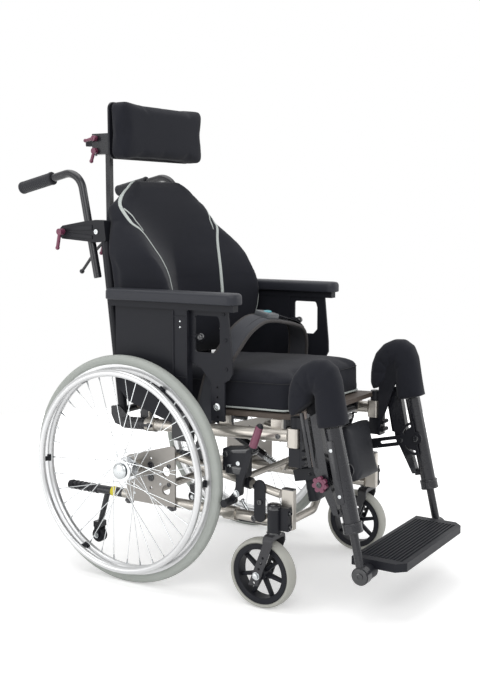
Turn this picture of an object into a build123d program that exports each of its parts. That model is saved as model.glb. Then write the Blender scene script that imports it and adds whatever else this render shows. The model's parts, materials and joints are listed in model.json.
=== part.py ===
from build123d import *
from math import atan2, cos, degrees, hypot, radians, sin
import os

# A tilt-in-space wheelchair. Millimetres, +Z up, floor at z = 0. The chair faces -Y and x = 0 is its
# middle plane. Every y below is measured from the rear axle; the finished parts are moved along Y at
# the end, so that the origin is the middle of the footprint.

# ------------------------------------------------------------------ driving dimensions
CLEAR = 0.3                 # gap between a soft or sliding piece and its neighbour
PIN_FIT = 0.05              # radial clearance of a pin in its hole
STEM_FIT = 0.06             # radial clearance of a long tube or stem in its bore

# rear wheels
WHEEL_R = 305.0
WHEEL_X = 300.0             # wheel plane from the middle
TYRE_R = 14.5               # radius of the tyre's section
RIM_OUTER_R = 281.0
RIM_WELL_R = 276.0
RIM_INNER_R = 258.0
RIM_HALF = 12.0
RIM_WALL = 2.5
HANDRIM_R = 262.0
HANDRIM_TUBE = 9.5
HANDRIM_OUT = 40.0          # handrim plane outside the wheel plane
HANDRIM_TABS = 6
TAB_WIDTH = 14.0
HUB_R = 14.0
HUB_IN = 24.0               # hub's inner end, from the wheel plane
HUB_OUT = 26.0
FLANGE_R = 31.0
FLANGE_THICK = 4.0
FLANGE_IN = 10.0
FLANGE_OUT = 20.0
CAP_R = 21.0
CAP_THICK = 5.0
AXLE_R = 6.35
SPOKES = 36
SPOKE_R = 1.0
SPOKE_HUB_R = 29.2
SPOKE_SWEEP = 60.0          # degrees round the hub between a spoke's two ends
SPOKE_OFFSET = 1.4          # spokes leave both faces of a flange

# castors
CASTOR_R = 89.0
CASTOR_TYRE_WIDTH = 40.0
CASTOR_RIM_R = 77.0
CASTOR_RING = 15.0          # depth of the wheel's outer ring
CASTOR_HUB_R = 15.0
CASTOR_SPACER_R = 8.0
CASTOR_X = 264.0
STEM_Y = -435.0
CASTOR_TRAIL = 31.0
STEM_R = 8.0
HOUSING_R = 17.0
HOUSING_Z = (194.0, 267.0)
CROWN_THICK = 10.7
FORK_GAP = 30.0             # inner face of a fork leg from the wheel's middle
FORK_THICK = 4.0
FORK_HALF = 13.0            # half the width of the fork's strap
FORK_BEND = 14.0            # outer radius of the strap's bends
FORK_BEND_DROP = 24.0       # height of the bent part
FORK_TAIL = 28.0            # strap below the axle
FORK_HOLE_R = 3.5
FORK_HOLES = (-20.0, 20.0, 36.0, 52.0)  # up the strap from the axle
CASTOR_AXLE_R = 5.0
CASTOR_SPOKES = 7

# base frame
LOWER_X = 233.0
LOWER_R = 13.0
LOWER_Z = 216.0
LOWER_Y = (-445.0, 60.0)
SLOPE_X = 235.0
SLOPE_R = 11.0
SLOPE_FRONT = (-438.0, 287.0)
SLOPE_RISE = 0.171
SLOPE_REAR_Y = -108.0
PLATE_X = 245.0             # inner face of the axle plate
PLATE_THICK = 6.0
PLATE_CORNERS = [(35, 329), (-125, 374), (-124, 206), (37, 206)]
POST_X = (228.0, 246.0)
POST_Y = (-478.0, -444.0)
POST_Z = (203.0, 302.0)
BOW_R = 11.0
BOW_POINTS = [(-220, -290, 213), (-150, -337, 178), (-72, -362, 160),
              (72, -362, 160), (150, -337, 178), (220, -290, 213)]
BOW_BEND = 60.0
REAR_CROSS = (-60.0, 246.0)
SPRING_CROSS_Y = -318.0
SPRING_CROSS_R = 8.0

# seat frame and its tilt
TILT_Y, TILT_Z = -190.0, 380.0
TILT_PIN_R = 6.0
TILT_LUG_R = 14.0
SEAT_TUBE_X = 228.0
SEAT_TUBE_R = 16.0
SEAT_TUBE_Y = (-457.0, 60.0)
SEAT_TUBE_REF = (80.0, 412.0)
SEAT_SLOPE = 0.042
SEAT_CROSS_R = 11.0
SEAT_MID_Y = -85.0
SEAT_FRONT_CROSS_Y = -418.0
BOARD_HALF = 212.0
BOARD_Y = (-480.0, 40.0)
BOARD_Z = (462.0, 474.0)
BLOCK_X = (211.0, 245.0)
BLOCK_Y = (-488.0, -457.0)
BLOCK_Z = (409.0, 456.0)
BLOCK_CORNER = 8.0
SWING_Y = -474.0
SWING_PIN_R = 7.0
CUSHION_HALF = 211.0
CUSHION_Y = (-452.0, 38.0)
CUSHION_Z = (474.3, 562.0)
CUSHION_CROWN = 22.0
SEAT_PITCH = 2.0            # degrees the board and its cushion rise towards the front
PITCH_Y = -206.0            # where the pitched board has the heights above
RISER_Y = (-430.0, -276.0, -20.0)
RISER_LONG = 30.0

BELT_TOP = (-260.0, 700.0)  # (y, z) of the belt's middle over the lap
BELT_LEAN = 13.0            # degrees by which its feet lie further back
BELT_WIDTH = 56.0
BELT_THICK = 9.0
BELT_BEND = 48.0
BUCKLE_SIZE = (62.0, 44.0, 16.0)

# armrests
ARM_X = (252.0, 272.0)
ARM_POST_Y = (-184.0, -137.0)
ARM_POST_Z = (398.0, 740.0)
SOCKET_Z = (395.0, 470.0)
SOCKET_WALL = 2.3
PANEL_X = (254.0, 260.0)
ARM_RAIL_Z = 752.0
ARM_RAIL_DEPTH = 17.0
PAD_X = (234.0, 290.0)
PAD_Y = (-335.0, 83.0)
PAD_THICK = 30.0

# back
PIVOT_Y, PIVOT_Z = 85.0, 440.0
PIVOT_R = 10.0
CANE_X = 215.0
CANE_R = 12.5
CANE_Y = 112.0              # cane's middle line at the height CANE_REF_Z
CANE_REF_Z = 770.0
CANE_SLOPE = 0.114
CANE_TOP_Z = 950.0
SHELL_HALF = 198.0
SHELL_Z = (490.0, 1000.0)
SHELL_FRONT = 2.3
SHELL_THICK = 8.0
BACK_CROSS_R = 11.0
BACK_CROSS_OFFSET = 25.0
BACK_CROSS_Z = (560.0, 925.0)

# headrest
MAST_Y = 288.0
MAST_HALF = 8.0
MAST_Z = (806.0, 1150.0)
MAST_SOCKET_Z = (884.0, 946.0)
HEAD_CLAMP_Z = (1150.0, 1210.0)
HEAD_BAR_Z = 1184.0
HEAD_BAR_HALF = 9.0
HEAD_BAR_REAR = 369.0
HEAD_SHELL_Y = 138.0
HEAD_SHELL_THICK = 6.0
HEAD_HALF = 192.0
HEAD_Z = (1120.0, 1282.0)
HEAD_FRONT_Y = 78.0

# push handles
HANDLE_X = 215.0
HANDLE_R = 11.0
HANDLE_FOOT = (157.0, 804.0)
HANDLE_LEAN = 11.4
HANDLE_CORNER = (216.0, 1096.5)
HANDLE_BEND = 52.0
GRIP_Y = (314.0, 431.0)
GRIP_END_Z = 1049.0
GRIP_R = 16.5
HANDLE_CLAMP_X = (199.0, 231.0)
HANDLE_STUD = (266.0, 927.0)
STUD_R = 4.0                # stud of a clamping lever
STUD_REACH = 8.0

# legrests, drawn along and across the leaning leg tube, from the knee pivot
KNEE_Y, KNEE_Z = -555.0, 590.0
LEG_LEAN = 12.9
LEG_X = 238.0
LEG_OUTER_R = 20.0
LEG_UPPER_R = 12.0
LEG_TUBE_T = (-352.0, -122.0)
COLLAR_R = 23.5
COLLAR_HIGH = 22.0
FOOT_R = 10.5
FOOT_TUBE_T = (-480.0, -250.0)
KNEE_PIN_R = 6.0
STRUT_X = (228.0, 248.0)
CALF_T = -231.0
CALF_BAR_X = (207.0, 212.0)
CALF_BAR_HALF = 14.0
CALF_PAD_X = (40.0, 187.0)
CALF_PAD_T = (-310.0, -154.0)
CALF_PAD_N = (113.0, 143.0)
KNEE_PAD_X = (218.0, 264.0)
KNEE_PAD_REACH = 115.0      # nothing behind the knee pivot reaches further than this
HANGER_BOTTOM_Z = 361.0
KNOB_R = 20.0
KNOB_LOBES = 7
KNOB_LOBE_R = 6.0
CALF_SECTOR_R = 47.0

# footplate
PLATE_HALF = 200.0
PLATE_Y = (-752.0, -616.0)
PLATE_Z = (130.0, 151.0)
PLATE_RIBS = 12
DISC_R = 22.0

# brakes and anti-tippers
BRAKE_PIVOT = (-338.0, 285.0)
BRAKE_X = (247.0, 276.0)
LEVER_X = (279.0, 285.0)
SHOE_R = 10.0
TIPPER_PLUG_R = 10.0
TIPPER_WHEEL = (150.0, 84.0)
TIPPER_WHEEL_R = 20.0

# gas spring of the tilt and recline strut
SPRING_FRONT = (-305.0, 284.0)
SPRING_REAR = (-85.0, 396.0)
SPRING_EYE_R = 7.0
SPRING_PIN_R = 4.0
SPRING_ROD_R = 5.0
SPRING_BODY_R = 11.0
RECLINE_X = 70.0
RECLINE_EYE = (98.0, 398.0)
RECLINE_EYE_R = 10.0
RECLINE_TRAVEL = 32.0       # the rod's eye comes this much nearer the cylinder at full recline
RECLINE_GAP = 4.0

SIDES = (("right", -1), ("left", 1))

# ------------------------------------------------------------------ shared shapes
NODES = {}


def add_node(name, *shapes):
    """Keep the solids of one sub-part under its node name."""
    solids = []
    for shape in shapes:
        solids.extend(shape.solids())
    NODES[name] = Compound(solids)


def to_side(shape, sign):
    """Return a shape drawn on the +X side, mirrored for the -X side."""
    return shape if sign > 0 else mirror(shape, about=Plane.YZ)


def rod(start, end, radius, bore=0.0):
    """Round bar, or tube with a bore, between two points."""
    run = Vector(*end) - Vector(*start)
    section = Circle(radius)
    if bore:
        section = section - Circle(bore)
    return extrude(Plane(origin=start, z_dir=run) * section, run.length)


def rod_x(y, z, x0, x1, radius, bore=0.0):
    """Round bar along X."""
    return rod((x0, y, z), (x1, y, z), radius, bore)


def rod_z(x, y, z0, z1, radius, bore=0.0):
    """Round bar along Z."""
    return rod((x, y, z0), (x, y, z1), radius, bore)


def block(x, y, z, corner=0.0):
    """Box between pairs of limits, with its upright edges rounded if asked."""
    size = (x[1] - x[0], y[1] - y[0], z[1] - z[0])
    middle = ((x[0] + x[1]) / 2, (y[0] + y[1]) / 2, (z[0] + z[1]) / 2)
    shape = Pos(*middle) * Box(*size)
    if corner:
        shape = fillet(shape.edges().filter_by(Axis.Z), corner)
    return shape


def side_plate(points, inner, outer, corner=0.0):
    """Plate in a side plane, from (y, z) corners, between two distances from the middle."""
    face = make_face(Polyline(*points, close=True))
    if corner:
        face = fillet(face.vertices(), corner)
    return Pos(inner, 0, 0) * extrude(Plane.YZ * face, outer - inner)


def bar_plate(start, end, half, inner, outer):
    """Flat link with round ends between two (y, z) points."""
    length = hypot(end[0] - start[0], end[1] - start[1])
    angle = degrees(atan2(end[1] - start[1], end[0] - start[0]))
    middle = ((start[0] + end[0]) / 2, (start[1] + end[1]) / 2)
    face = Pos(*middle) * Rot(Z=angle) * SlotCenterToCenter(length, 2 * half)
    return Pos(inner, 0, 0) * extrude(Plane.YZ * face, outer - inner)


def bent_tube(points, bend, radius):
    """Round bar swept along straight runs joined by arcs."""
    path = FilletPolyline(*points, radius=bend)
    section = Plane(origin=path @ 0, z_dir=path % 0) * Circle(radius)
    return sweep(section, path=path)


def pillow_outline(x0, x1, y0, y1, corner, draw):
    """Closed outline of a pad: sides drawn in by an arc, round corners."""
    mid_x, mid_y = (x0 + x1) / 2, (y0 + y1) / 2
    arc = corner * (1 - cos(radians(45)))
    right = ThreePointArc((x1, y0 + corner), (x1 - draw, mid_y), (x1, y1 - corner))
    rear_right = ThreePointArc((x1, y1 - corner), (x1 - arc, y1 - arc), (x1 - corner, y1))
    rear = ThreePointArc((x1 - corner, y1), (mid_x, y1 - draw), (x0 + corner, y1))
    rear_left = ThreePointArc((x0 + corner, y1), (x0 + arc, y1 - arc), (x0, y1 - corner))
    left = ThreePointArc((x0, y1 - corner), (x0 + draw, mid_y), (x0, y0 + corner))
    front_left = ThreePointArc((x0, y0 + corner), (x0 + arc, y0 + arc), (x0 + corner, y0))
    front = ThreePointArc((x0 + corner, y0), (mid_x, y0 + draw), (x1 - corner, y0))
    front_right = ThreePointArc((x1 - corner, y0), (x1 - arc, y0 + arc), (x1, y0 + corner))
    return make_face([right, rear_right, rear, rear_left, left, front_left, front, front_right])


def pillow(x, y, thick, crown, corner, draw):
    """Crowned pad on the XY plane: drawn-in sides, rolled edges and a swelling face."""
    roll = 0.12 * thick
    rows = [(0.0, roll), (roll, 0.0), (thick - 2 * roll, 0.0), (thick - roll / 2, roll),
            (thick + 0.4 * crown, 4 * roll), (thick + 0.85 * crown, 8 * roll), (thick + crown, 13 * roll)]
    sections = []
    for height, inset in rows:
        inset = min(inset, 0.38 * min(x[1] - x[0], y[1] - y[0]))
        round_off = max(corner - 0.4 * inset, 0.3 * corner)
        outline = pillow_outline(x[0] + inset, x[1] - inset, y[0] + inset, y[1] - inset, round_off, draw)
        sections.append(Pos(0, 0, height) * outline)
    return loft(sections, ruled=True)


def slope_z(y):
    """Height of the sloping base tube's middle line."""
    return SLOPE_FRONT[1] + SLOPE_RISE * (y - SLOPE_FRONT[0])


def seat_z(y):
    """Height of the seat tube's middle line."""
    return SEAT_TUBE_REF[1] + SEAT_SLOPE * (SEAT_TUBE_REF[0] - y)


def cane_y(z):
    """Where the leaning back line lies at a height."""
    return CANE_Y + CANE_SLOPE * (z - CANE_REF_Z)


def pitched(shape):
    """Turn a shape drawn level into the pitch of the seat board."""
    height = BOARD_Z[0]
    return Pos(0, PITCH_Y, height) * Rot(X=-SEAT_PITCH) * Pos(0, -PITCH_Y, -height) * shape


# ------------------------------------------------------------------ base frame
def base_side():
    """One welded side: two tubes, front post, axle plate and tilt lug."""
    lower = rod((LOWER_X, LOWER_Y[0], LOWER_Z), (LOWER_X, LOWER_Y[1], LOWER_Z), LOWER_R)
    socket = rod((LOWER_X, 0, LOWER_Z), (LOWER_X, LOWER_Y[1] + 1, LOWER_Z), TIPPER_PLUG_R + PIN_FIT)
    slope = rod((SLOPE_X, SLOPE_FRONT[0], SLOPE_FRONT[1]),
                (SLOPE_X, SLOPE_REAR_Y, slope_z(SLOPE_REAR_Y)), SLOPE_R)
    post = block(POST_X, POST_Y, POST_Z, 3)
    plate = side_plate(PLATE_CORNERS, PLATE_X, PLATE_X + PLATE_THICK, 8)
    plate += rod_x(0, WHEEL_R, PLATE_X, PLATE_X + 17, 15)
    for y, z, radius in ((-95, 300, 13), (-95, 250, 13), (-45, 330, 4), (-45, 250, 4), (15, 250, 4)):
        plate -= rod_x(y, z, PLATE_X - 1, PLATE_X + PLATE_THICK + 1, radius)
    plate -= rod_x(0, WHEEL_R, PLATE_X - 1, PLATE_X + 18, AXLE_R)
    lug_x = (SEAT_TUBE_X - 5, SEAT_TUBE_X + 1)
    lug = bar_plate((TILT_Y, slope_z(TILT_Y)), (TILT_Y, TILT_Z), TILT_LUG_R, *lug_x)
    pin = rod_x(TILT_Y, TILT_Z, lug_x[0] - 8, lug_x[0], TILT_PIN_R)
    head = rod_x(TILT_Y, TILT_Z, lug_x[0] - 11, lug_x[0] - 7.3, TILT_PIN_R + 4)
    return lower + slope + post + plate + lug + pin + head - socket


def axle():
    """Quick-release axle with its head inside the plate."""
    pin = rod_x(0, WHEEL_R, PLATE_X - 5, WHEEL_X + HUB_OUT, AXLE_R)
    return pin + rod_x(0, WHEEL_R, PLATE_X - 5, PLATE_X, 10)


def cross_tubes():
    """Bowed front tube, rear tube and spring tube, cut to sit on the side tubes."""
    bow = bent_tube(BOW_POINTS, BOW_BEND, BOW_R)
    rear = rod_x(*REAR_CROSS, -PLATE_X, PLATE_X, BOW_R)
    spring = rod_x(SPRING_CROSS_Y, slope_z(SPRING_CROSS_Y), -SLOPE_X, SLOPE_X, SPRING_CROSS_R)
    lug_top = (SPRING_CROSS_Y, slope_z(SPRING_CROSS_Y))
    for sign in (-1, 1):
        inner, outer = sorted((sign * 8, sign * 12))
        spring += bar_plate(lug_top, SPRING_FRONT, SPRING_EYE_R + 2, inner, outer)
        clamp = rod((sign * LOWER_X, -308, LOWER_Z), (sign * LOWER_X, -272, LOWER_Z), LOWER_R + 5)
        bow += clamp
    spring += rod_x(*SPRING_FRONT, -14, 14, SPRING_PIN_R)
    for sign in (-1, 1):
        bow -= rod((sign * LOWER_X, -400, LOWER_Z), (sign * LOWER_X, -200, LOWER_Z), LOWER_R)
        slope_start = (sign * SLOPE_X, SLOPE_FRONT[0], SLOPE_FRONT[1])
        slope_end = (sign * SLOPE_X, SLOPE_REAR_Y, slope_z(SLOPE_REAR_Y))
        spring -= rod(slope_start, slope_end, SLOPE_R)
        spring -= block(sorted((sign * SLOPE_X, sign * (SLOPE_X + 30))), (-400, -200), (200, 400))
    return bow, rear, spring


def castor_mount():
    """Castor housing with its bracket on the post, and the strap between the side tubes."""
    housing = rod_z(CASTOR_X, STEM_Y, *HOUSING_Z, HOUSING_R)
    bracket = block((POST_X[1], CASTOR_X), (POST_Y[0] + 4, STEM_Y), (HOUSING_Z[0] + 9, HOUSING_Z[1] - 5))
    bore = rod_z(CASTOR_X, STEM_Y, HOUSING_Z[0] - 1, HOUSING_Z[1] - 4, STEM_R + PIN_FIT)
    strap = bar_plate((-384, LOWER_Z + 10), (-384, slope_z(-384) + 6), 16, SLOPE_X + SLOPE_R,
                      SLOPE_X + SLOPE_R + 4)
    return housing + bracket - bore, strap


def brake_body():
    """Brake housing clamped on the sloping tube, with the lug of its lever."""
    body = side_plate([(-292, 394), (-360, 403), (-360, 322), (-292, 338)], *BRAKE_X, 6)
    clamp = rod((SLOPE_X, -352, slope_z(-352)), (SLOPE_X, -330, slope_z(-330)), SLOPE_R + 4)
    web = block((BRAKE_X[0], BRAKE_X[0] + 6), (-350, -331), (304, 340))
    lug = bar_plate(BRAKE_PIVOT, (BRAKE_PIVOT[0] - 2, 330), 9, BRAKE_X[1] - 12, BRAKE_X[1])
    pin = rod_x(*BRAKE_PIVOT, BRAKE_X[1] - 1, LEVER_X[1] + 4, 5)
    tube = rod((SLOPE_X, -400, slope_z(-400)), (SLOPE_X, -250, slope_z(-250)), SLOPE_R)
    return body + clamp + web + lug + pin - tube


def brake_lever():
    """Lever plate with its grip above and the shoe that presses the tyre."""
    knee = (-374, 392)
    shoe = (BRAKE_PIVOT[0] + 20, BRAKE_PIVOT[1] - 23)
    plate = bar_plate(BRAKE_PIVOT, knee, 8, *LEVER_X)
    plate += bar_plate(BRAKE_PIVOT, shoe, 8, *LEVER_X)
    plate -= rod_x(*BRAKE_PIVOT, LEVER_X[0] - 1, LEVER_X[1] + 1, 5 + PIN_FIT)
    middle = (LEVER_X[0] + LEVER_X[1]) / 2
    grip = rod((middle, -383, 404), (middle, -404, 460), 9)
    grip += Pos(middle, -404, 460) * Sphere(9)
    neck = rod((middle, knee[0], knee[1]), (middle, -384, 407), 4)
    bar = rod_x(*shoe, LEVER_X[1] - 23, LEVER_X[1] + 27, SHOE_R)
    return plate + grip + neck + bar


def anti_tipper():
    """Tread bar plugged into the lower tube, with its leg and wheel pin."""
    plug = rod((LOWER_X, 8, LOWER_Z), (LOWER_X, LOWER_Y[1] + 5, LOWER_Z), TIPPER_PLUG_R)
    collar = rod((LOWER_X, LOWER_Y[1] + CLEAR, LOWER_Z), (LOWER_X, 84, LOWER_Z), LOWER_R)
    tread = rod((LOWER_X, 80, LOWER_Z), (LOWER_X, 255, LOWER_Z - 3), LOWER_R - 1)
    leg = rod((LOWER_X, 118, LOWER_Z - 2), (LOWER_X, 146, 122), 8)
    fork = block((LOWER_X - 15, LOWER_X + 15), (138, 160), (108, 124))
    for x in (LOWER_X - 15, LOWER_X + 12):
        fork += bar_plate(TIPPER_WHEEL, (TIPPER_WHEEL[0], 114), 8, x, x + 3)
    pin = rod_x(*TIPPER_WHEEL, LOWER_X - 15, LOWER_X + 15, 4)
    return plug + collar + tread + leg + fork + pin


def tipper_wheel():
    """Small wheel of an anti-tipper."""
    wheel = rod_x(*TIPPER_WHEEL, LOWER_X - 11.5, LOWER_X + 11.5, TIPPER_WHEEL_R, 4 + PIN_FIT)
    return fillet(wheel.edges().filter_by(GeomType.CIRCLE).sort_by(SortBy.RADIUS)[-2:], 5)


# ------------------------------------------------------------------ wheels
def wheel_face(points):
    """Closed section of a wheel from (radius, along the axle) corners."""
    return make_face(Plane.XZ * Polyline(*points, close=True))


def spun_wheel(face, x):
    """Turn a section about the Z axis and lay the result on its axle along X."""
    return Pos(x, 0, WHEEL_R) * Rot(Y=90) * revolve(face, Axis.Z)


def rim_points():
    """Rim section: two flanges for the tyre, a well and a hollow inner side."""
    edge = RIM_HALF - RIM_WALL
    return [(RIM_OUTER_R, -RIM_HALF), (RIM_OUTER_R, -edge), (RIM_WELL_R, -edge), (RIM_WELL_R, edge),
            (RIM_OUTER_R, edge), (RIM_OUTER_R, RIM_HALF), (RIM_INNER_R + 7, RIM_HALF),
            (RIM_INNER_R, 5), (RIM_INNER_R, -5), (RIM_INNER_R + 7, -RIM_HALF)]


def rear_tyre():
    """Tyre with a round section, seated in the rim's well."""
    middle = WHEEL_R - TYRE_R
    section = Plane.XZ * Pos(middle, 0) * Circle(TYRE_R)
    inside = wheel_face([(RIM_WELL_R - 20, -40), (RIM_OUTER_R, -40), (RIM_OUTER_R, 40),
                         (RIM_WELL_R - 20, 40)])
    edge = RIM_HALF - RIM_WALL
    bead = wheel_face([(RIM_WELL_R, -edge), (RIM_OUTER_R, -edge), (RIM_OUTER_R, edge),
                       (RIM_WELL_R, edge)])
    return spun_wheel((section - inside) + bead, WHEEL_X)


def rear_rim():
    """Rim, handrim and the tabs that join them."""
    rim = spun_wheel(wheel_face(rim_points()), WHEEL_X)
    hand = Plane.XZ * Pos(HANDRIM_R, HANDRIM_OUT) * Circle(HANDRIM_TUBE)
    wheel = rim + spun_wheel(hand, WHEEL_X)
    for index in range(HANDRIM_TABS):
        tab = block((WHEEL_X + 8, WHEEL_X + HANDRIM_OUT), (-TAB_WIDTH / 2, TAB_WIDTH / 2),
                    (HANDRIM_R - 2, HANDRIM_R + 6))
        wheel += Pos(0, 0, WHEEL_R) * Rot(X=360 / HANDRIM_TABS * (index + 0.5)) * tab
    return wheel


def rear_hub():
    """Hub with two flanges, its cap, and crossed spokes."""
    hub = rod_x(0, WHEEL_R, WHEEL_X - HUB_IN, WHEEL_X + HUB_OUT, HUB_R)
    hub += rod_x(0, WHEEL_R, WHEEL_X + HUB_OUT - 1, WHEEL_X + HUB_OUT + CAP_THICK, CAP_R)
    for plane in (-FLANGE_IN, FLANGE_OUT):
        hub += rod_x(0, WHEEL_R, WHEEL_X + plane - FLANGE_THICK / 2, WHEEL_X + plane + FLANGE_THICK / 2,
                     FLANGE_R)
    hub -= rod_x(0, WHEEL_R, WHEEL_X - HUB_IN - 1, WHEEL_X + HUB_OUT + CLEAR, AXLE_R + PIN_FIT)
    spokes = []
    for index in range(SPOKES):
        plane = (-FLANGE_IN, FLANGE_OUT)[index % 2]
        turn = (-1, 1)[index // 2 % 2]
        rim_angle = radians(360 / SPOKES * index)
        hub_angle = rim_angle + turn * radians(SPOKE_SWEEP)
        start = (WHEEL_X + plane + turn * SPOKE_OFFSET, SPOKE_HUB_R * cos(hub_angle),
                 WHEEL_R + SPOKE_HUB_R * sin(hub_angle))
        reach = RIM_INNER_R - CLEAR
        end = (WHEEL_X, reach * cos(rim_angle), WHEEL_R + reach * sin(rim_angle))
        spokes.append(rod(start, end, SPOKE_R))
    return hub + spokes


def castor_fork():
    """Castor fork: stem, a strap bent over the wheel with holes down its legs, and the axle bolt."""
    wheel_y = STEM_Y + CASTOR_TRAIL
    outer = FORK_GAP + FORK_THICK
    top = HOUSING_Z[0] - CLEAR
    stem = rod_z(CASTOR_X, STEM_Y, top - 2, HOUSING_Z[1] - 8, STEM_R)
    limits_y = (STEM_Y - FORK_HALF, STEM_Y + FORK_HALF)
    crown = block((CASTOR_X - outer, CASTOR_X + outer), limits_y, (top - FORK_BEND_DROP, top))
    crown = fillet(crown.edges().filter_by(Axis.Y).group_by(Axis.Z)[-1], FORK_BEND)
    inside = block((CASTOR_X - FORK_GAP, CASTOR_X + FORK_GAP), limits_y,
                   (top - FORK_BEND_DROP, top - CROWN_THICK))
    inside = fillet(inside.edges().filter_by(Axis.Y).group_by(Axis.Z)[-1], FORK_BEND - FORK_THICK)
    run_y, run_z = wheel_y - STEM_Y, CASTOR_R - (top - FORK_BEND_DROP)
    length = hypot(run_y, run_z)
    lean = (run_y / length, run_z / length)
    tail = (wheel_y + lean[0] * FORK_TAIL, CASTOR_R + lean[1] * FORK_TAIL)
    strap = [(limits_y[0], top - FORK_BEND_DROP + 1), (limits_y[1], top - FORK_BEND_DROP + 1),
             (tail[0] + FORK_HALF, tail[1]), (tail[0] - FORK_HALF, tail[1])]
    fork = stem + (crown - inside)
    for inner in (CASTOR_X - outer, CASTOR_X + FORK_GAP):
        leg = side_plate(strap, inner, inner + FORK_THICK)
        for climb in FORK_HOLES:
            leg -= rod_x(wheel_y - lean[0] * climb, CASTOR_R - lean[1] * climb, inner - 1,
                         inner + FORK_THICK + 1, FORK_HOLE_R)
        fork += leg
    fork += rod_x(wheel_y, CASTOR_R, CASTOR_X - outer - 4, CASTOR_X + outer + 4, CASTOR_AXLE_R)
    return fork


def castor_axis(shape):
    """Put a shape made round Z on the castor's axle."""
    return Pos(CASTOR_X, STEM_Y + CASTOR_TRAIL, CASTOR_R) * Rot(Y=90) * shape


def castor_wheel():
    """Spoked castor wheel with a deep outer ring."""
    half = CASTOR_TYRE_WIDTH / 2 - 3
    inner = CASTOR_RIM_R - CASTOR_RING
    wheel = Cylinder(CASTOR_RIM_R, 2 * half) - Cylinder(inner, 2 * half)
    wheel += Cylinder(CASTOR_HUB_R, 2 * half) + Cylinder(CASTOR_SPACER_R, 2 * FORK_GAP - 2)
    for index in range(CASTOR_SPOKES):
        spoke = Pos((CASTOR_HUB_R + inner) / 2, 0, 0) * Box(inner - CASTOR_HUB_R + 4, 9, 12)
        wheel += Rot(Z=360 / CASTOR_SPOKES * index) * spoke
    return castor_axis(wheel - Cylinder(CASTOR_AXLE_R + PIN_FIT, 4 * FORK_GAP))


def castor_tyre():
    """Castor tyre with a rounded tread."""
    half = CASTOR_TYRE_WIDTH / 2
    start, middle, end = (CASTOR_RIM_R + 6, -half), (CASTOR_R, 0), (CASTOR_RIM_R + 6, half)
    inner = [(CASTOR_RIM_R, half - 5), (CASTOR_RIM_R, 5 - half)]
    edges = [ThreePointArc(start, middle, end), Line(end, inner[0]), Line(*inner), Line(inner[1], start)]
    return castor_axis(revolve(make_face(Plane.XZ * Curve(edges)), Axis.Z))


# ------------------------------------------------------------------ seat frame
def seat_side():
    """Seat tube with its front block, risers, armrest socket, tilt lug and back pivot plate."""
    front, rear = SEAT_TUBE_Y
    side = rod((SEAT_TUBE_X, front, seat_z(front)), (SEAT_TUBE_X, rear, seat_z(rear)), SEAT_TUBE_R)
    side += block(BLOCK_X, (BLOCK_Y[0], BLOCK_Y[1] + 1), BLOCK_Z, BLOCK_CORNER)
    side -= rod_z(SEAT_TUBE_X, SWING_Y, BLOCK_Z[0] - 1, BLOCK_Z[1] + 1, SWING_PIN_R + PIN_FIT)
    above = block((0, 2 * BOARD_HALF), BOARD_Y, (BOARD_Z[0], 2 * BOARD_Z[0]))
    for y in RISER_Y:
        riser = block((BOARD_HALF - 12, BOARD_HALF + 10), (y, y + RISER_LONG), (seat_z(y), BOARD_Z[1] + 8))
        side += riser - pitched(above)
    side += rod((SEAT_TUBE_X, -50, seat_z(-50)), (SEAT_TUBE_X, -20, seat_z(-20)), SEAT_TUBE_R + 3)
    side += arm_socket()
    lug_x = (SEAT_TUBE_X - 12, SEAT_TUBE_X - 6)
    side += bar_plate((TILT_Y, seat_z(TILT_Y)), (TILT_Y, TILT_Z), TILT_LUG_R, *lug_x)
    side -= rod_x(TILT_Y, TILT_Z, lug_x[0] - 1, lug_x[1] + 1, TILT_PIN_R + PIN_FIT)
    plate_x = (CANE_X + CANE_R + 1, CANE_X + CANE_R + 7)
    side += side_plate([(PIVOT_Y - 45, 398), (PIVOT_Y + 3, 408), (PIVOT_Y + 16, PIVOT_Z - 8),
                        (PIVOT_Y + 16, PIVOT_Z + 16), (PIVOT_Y - 16, PIVOT_Z + 16), (PIVOT_Y - 45, 430)],
                       *plate_x, 5)
    return side


def arm_socket():
    """Square socket that the armrest post slides in, with its web to the seat tube."""
    gap = CLEAR + SOCKET_WALL
    outer = block((ARM_X[0] - gap, ARM_X[1] + gap), (ARM_POST_Y[0] - gap - 1, ARM_POST_Y[1] + gap + 1),
                  SOCKET_Z)
    hole = block((ARM_X[0] - CLEAR, ARM_X[1] + CLEAR), (ARM_POST_Y[0] - CLEAR, ARM_POST_Y[1] + CLEAR),
                 (SOCKET_Z[0] + 2, SOCKET_Z[1] + 1))
    web = block((SEAT_TUBE_X + 6, ARM_X[0] - gap), (-175, -145), (SEAT_TUBE_REF[1] - 6, 432))
    return outer - hole + web


def seat_frame():
    """Both seat sides, their cross tubes, the pivot bar and the lugs of the two struts."""
    frame = seat_side() + mirror(seat_side(), about=Plane.YZ)
    for y in (SEAT_FRONT_CROSS_Y, SEAT_MID_Y):
        frame += rod_x(y, seat_z(y), -SEAT_TUBE_X, SEAT_TUBE_X, SEAT_CROSS_R)
    reach = CANE_X + CANE_R + 4
    frame += rod_x(PIVOT_Y, PIVOT_Z, -reach, reach, PIVOT_R)
    for x in (-12, 8):
        frame += bar_plate((SEAT_MID_Y, seat_z(SEAT_MID_Y)), SPRING_REAR, SPRING_EYE_R + 2, x, x + 4)
    frame += rod_x(*SPRING_REAR, -14, 14, SPRING_PIN_R)
    return frame


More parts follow.
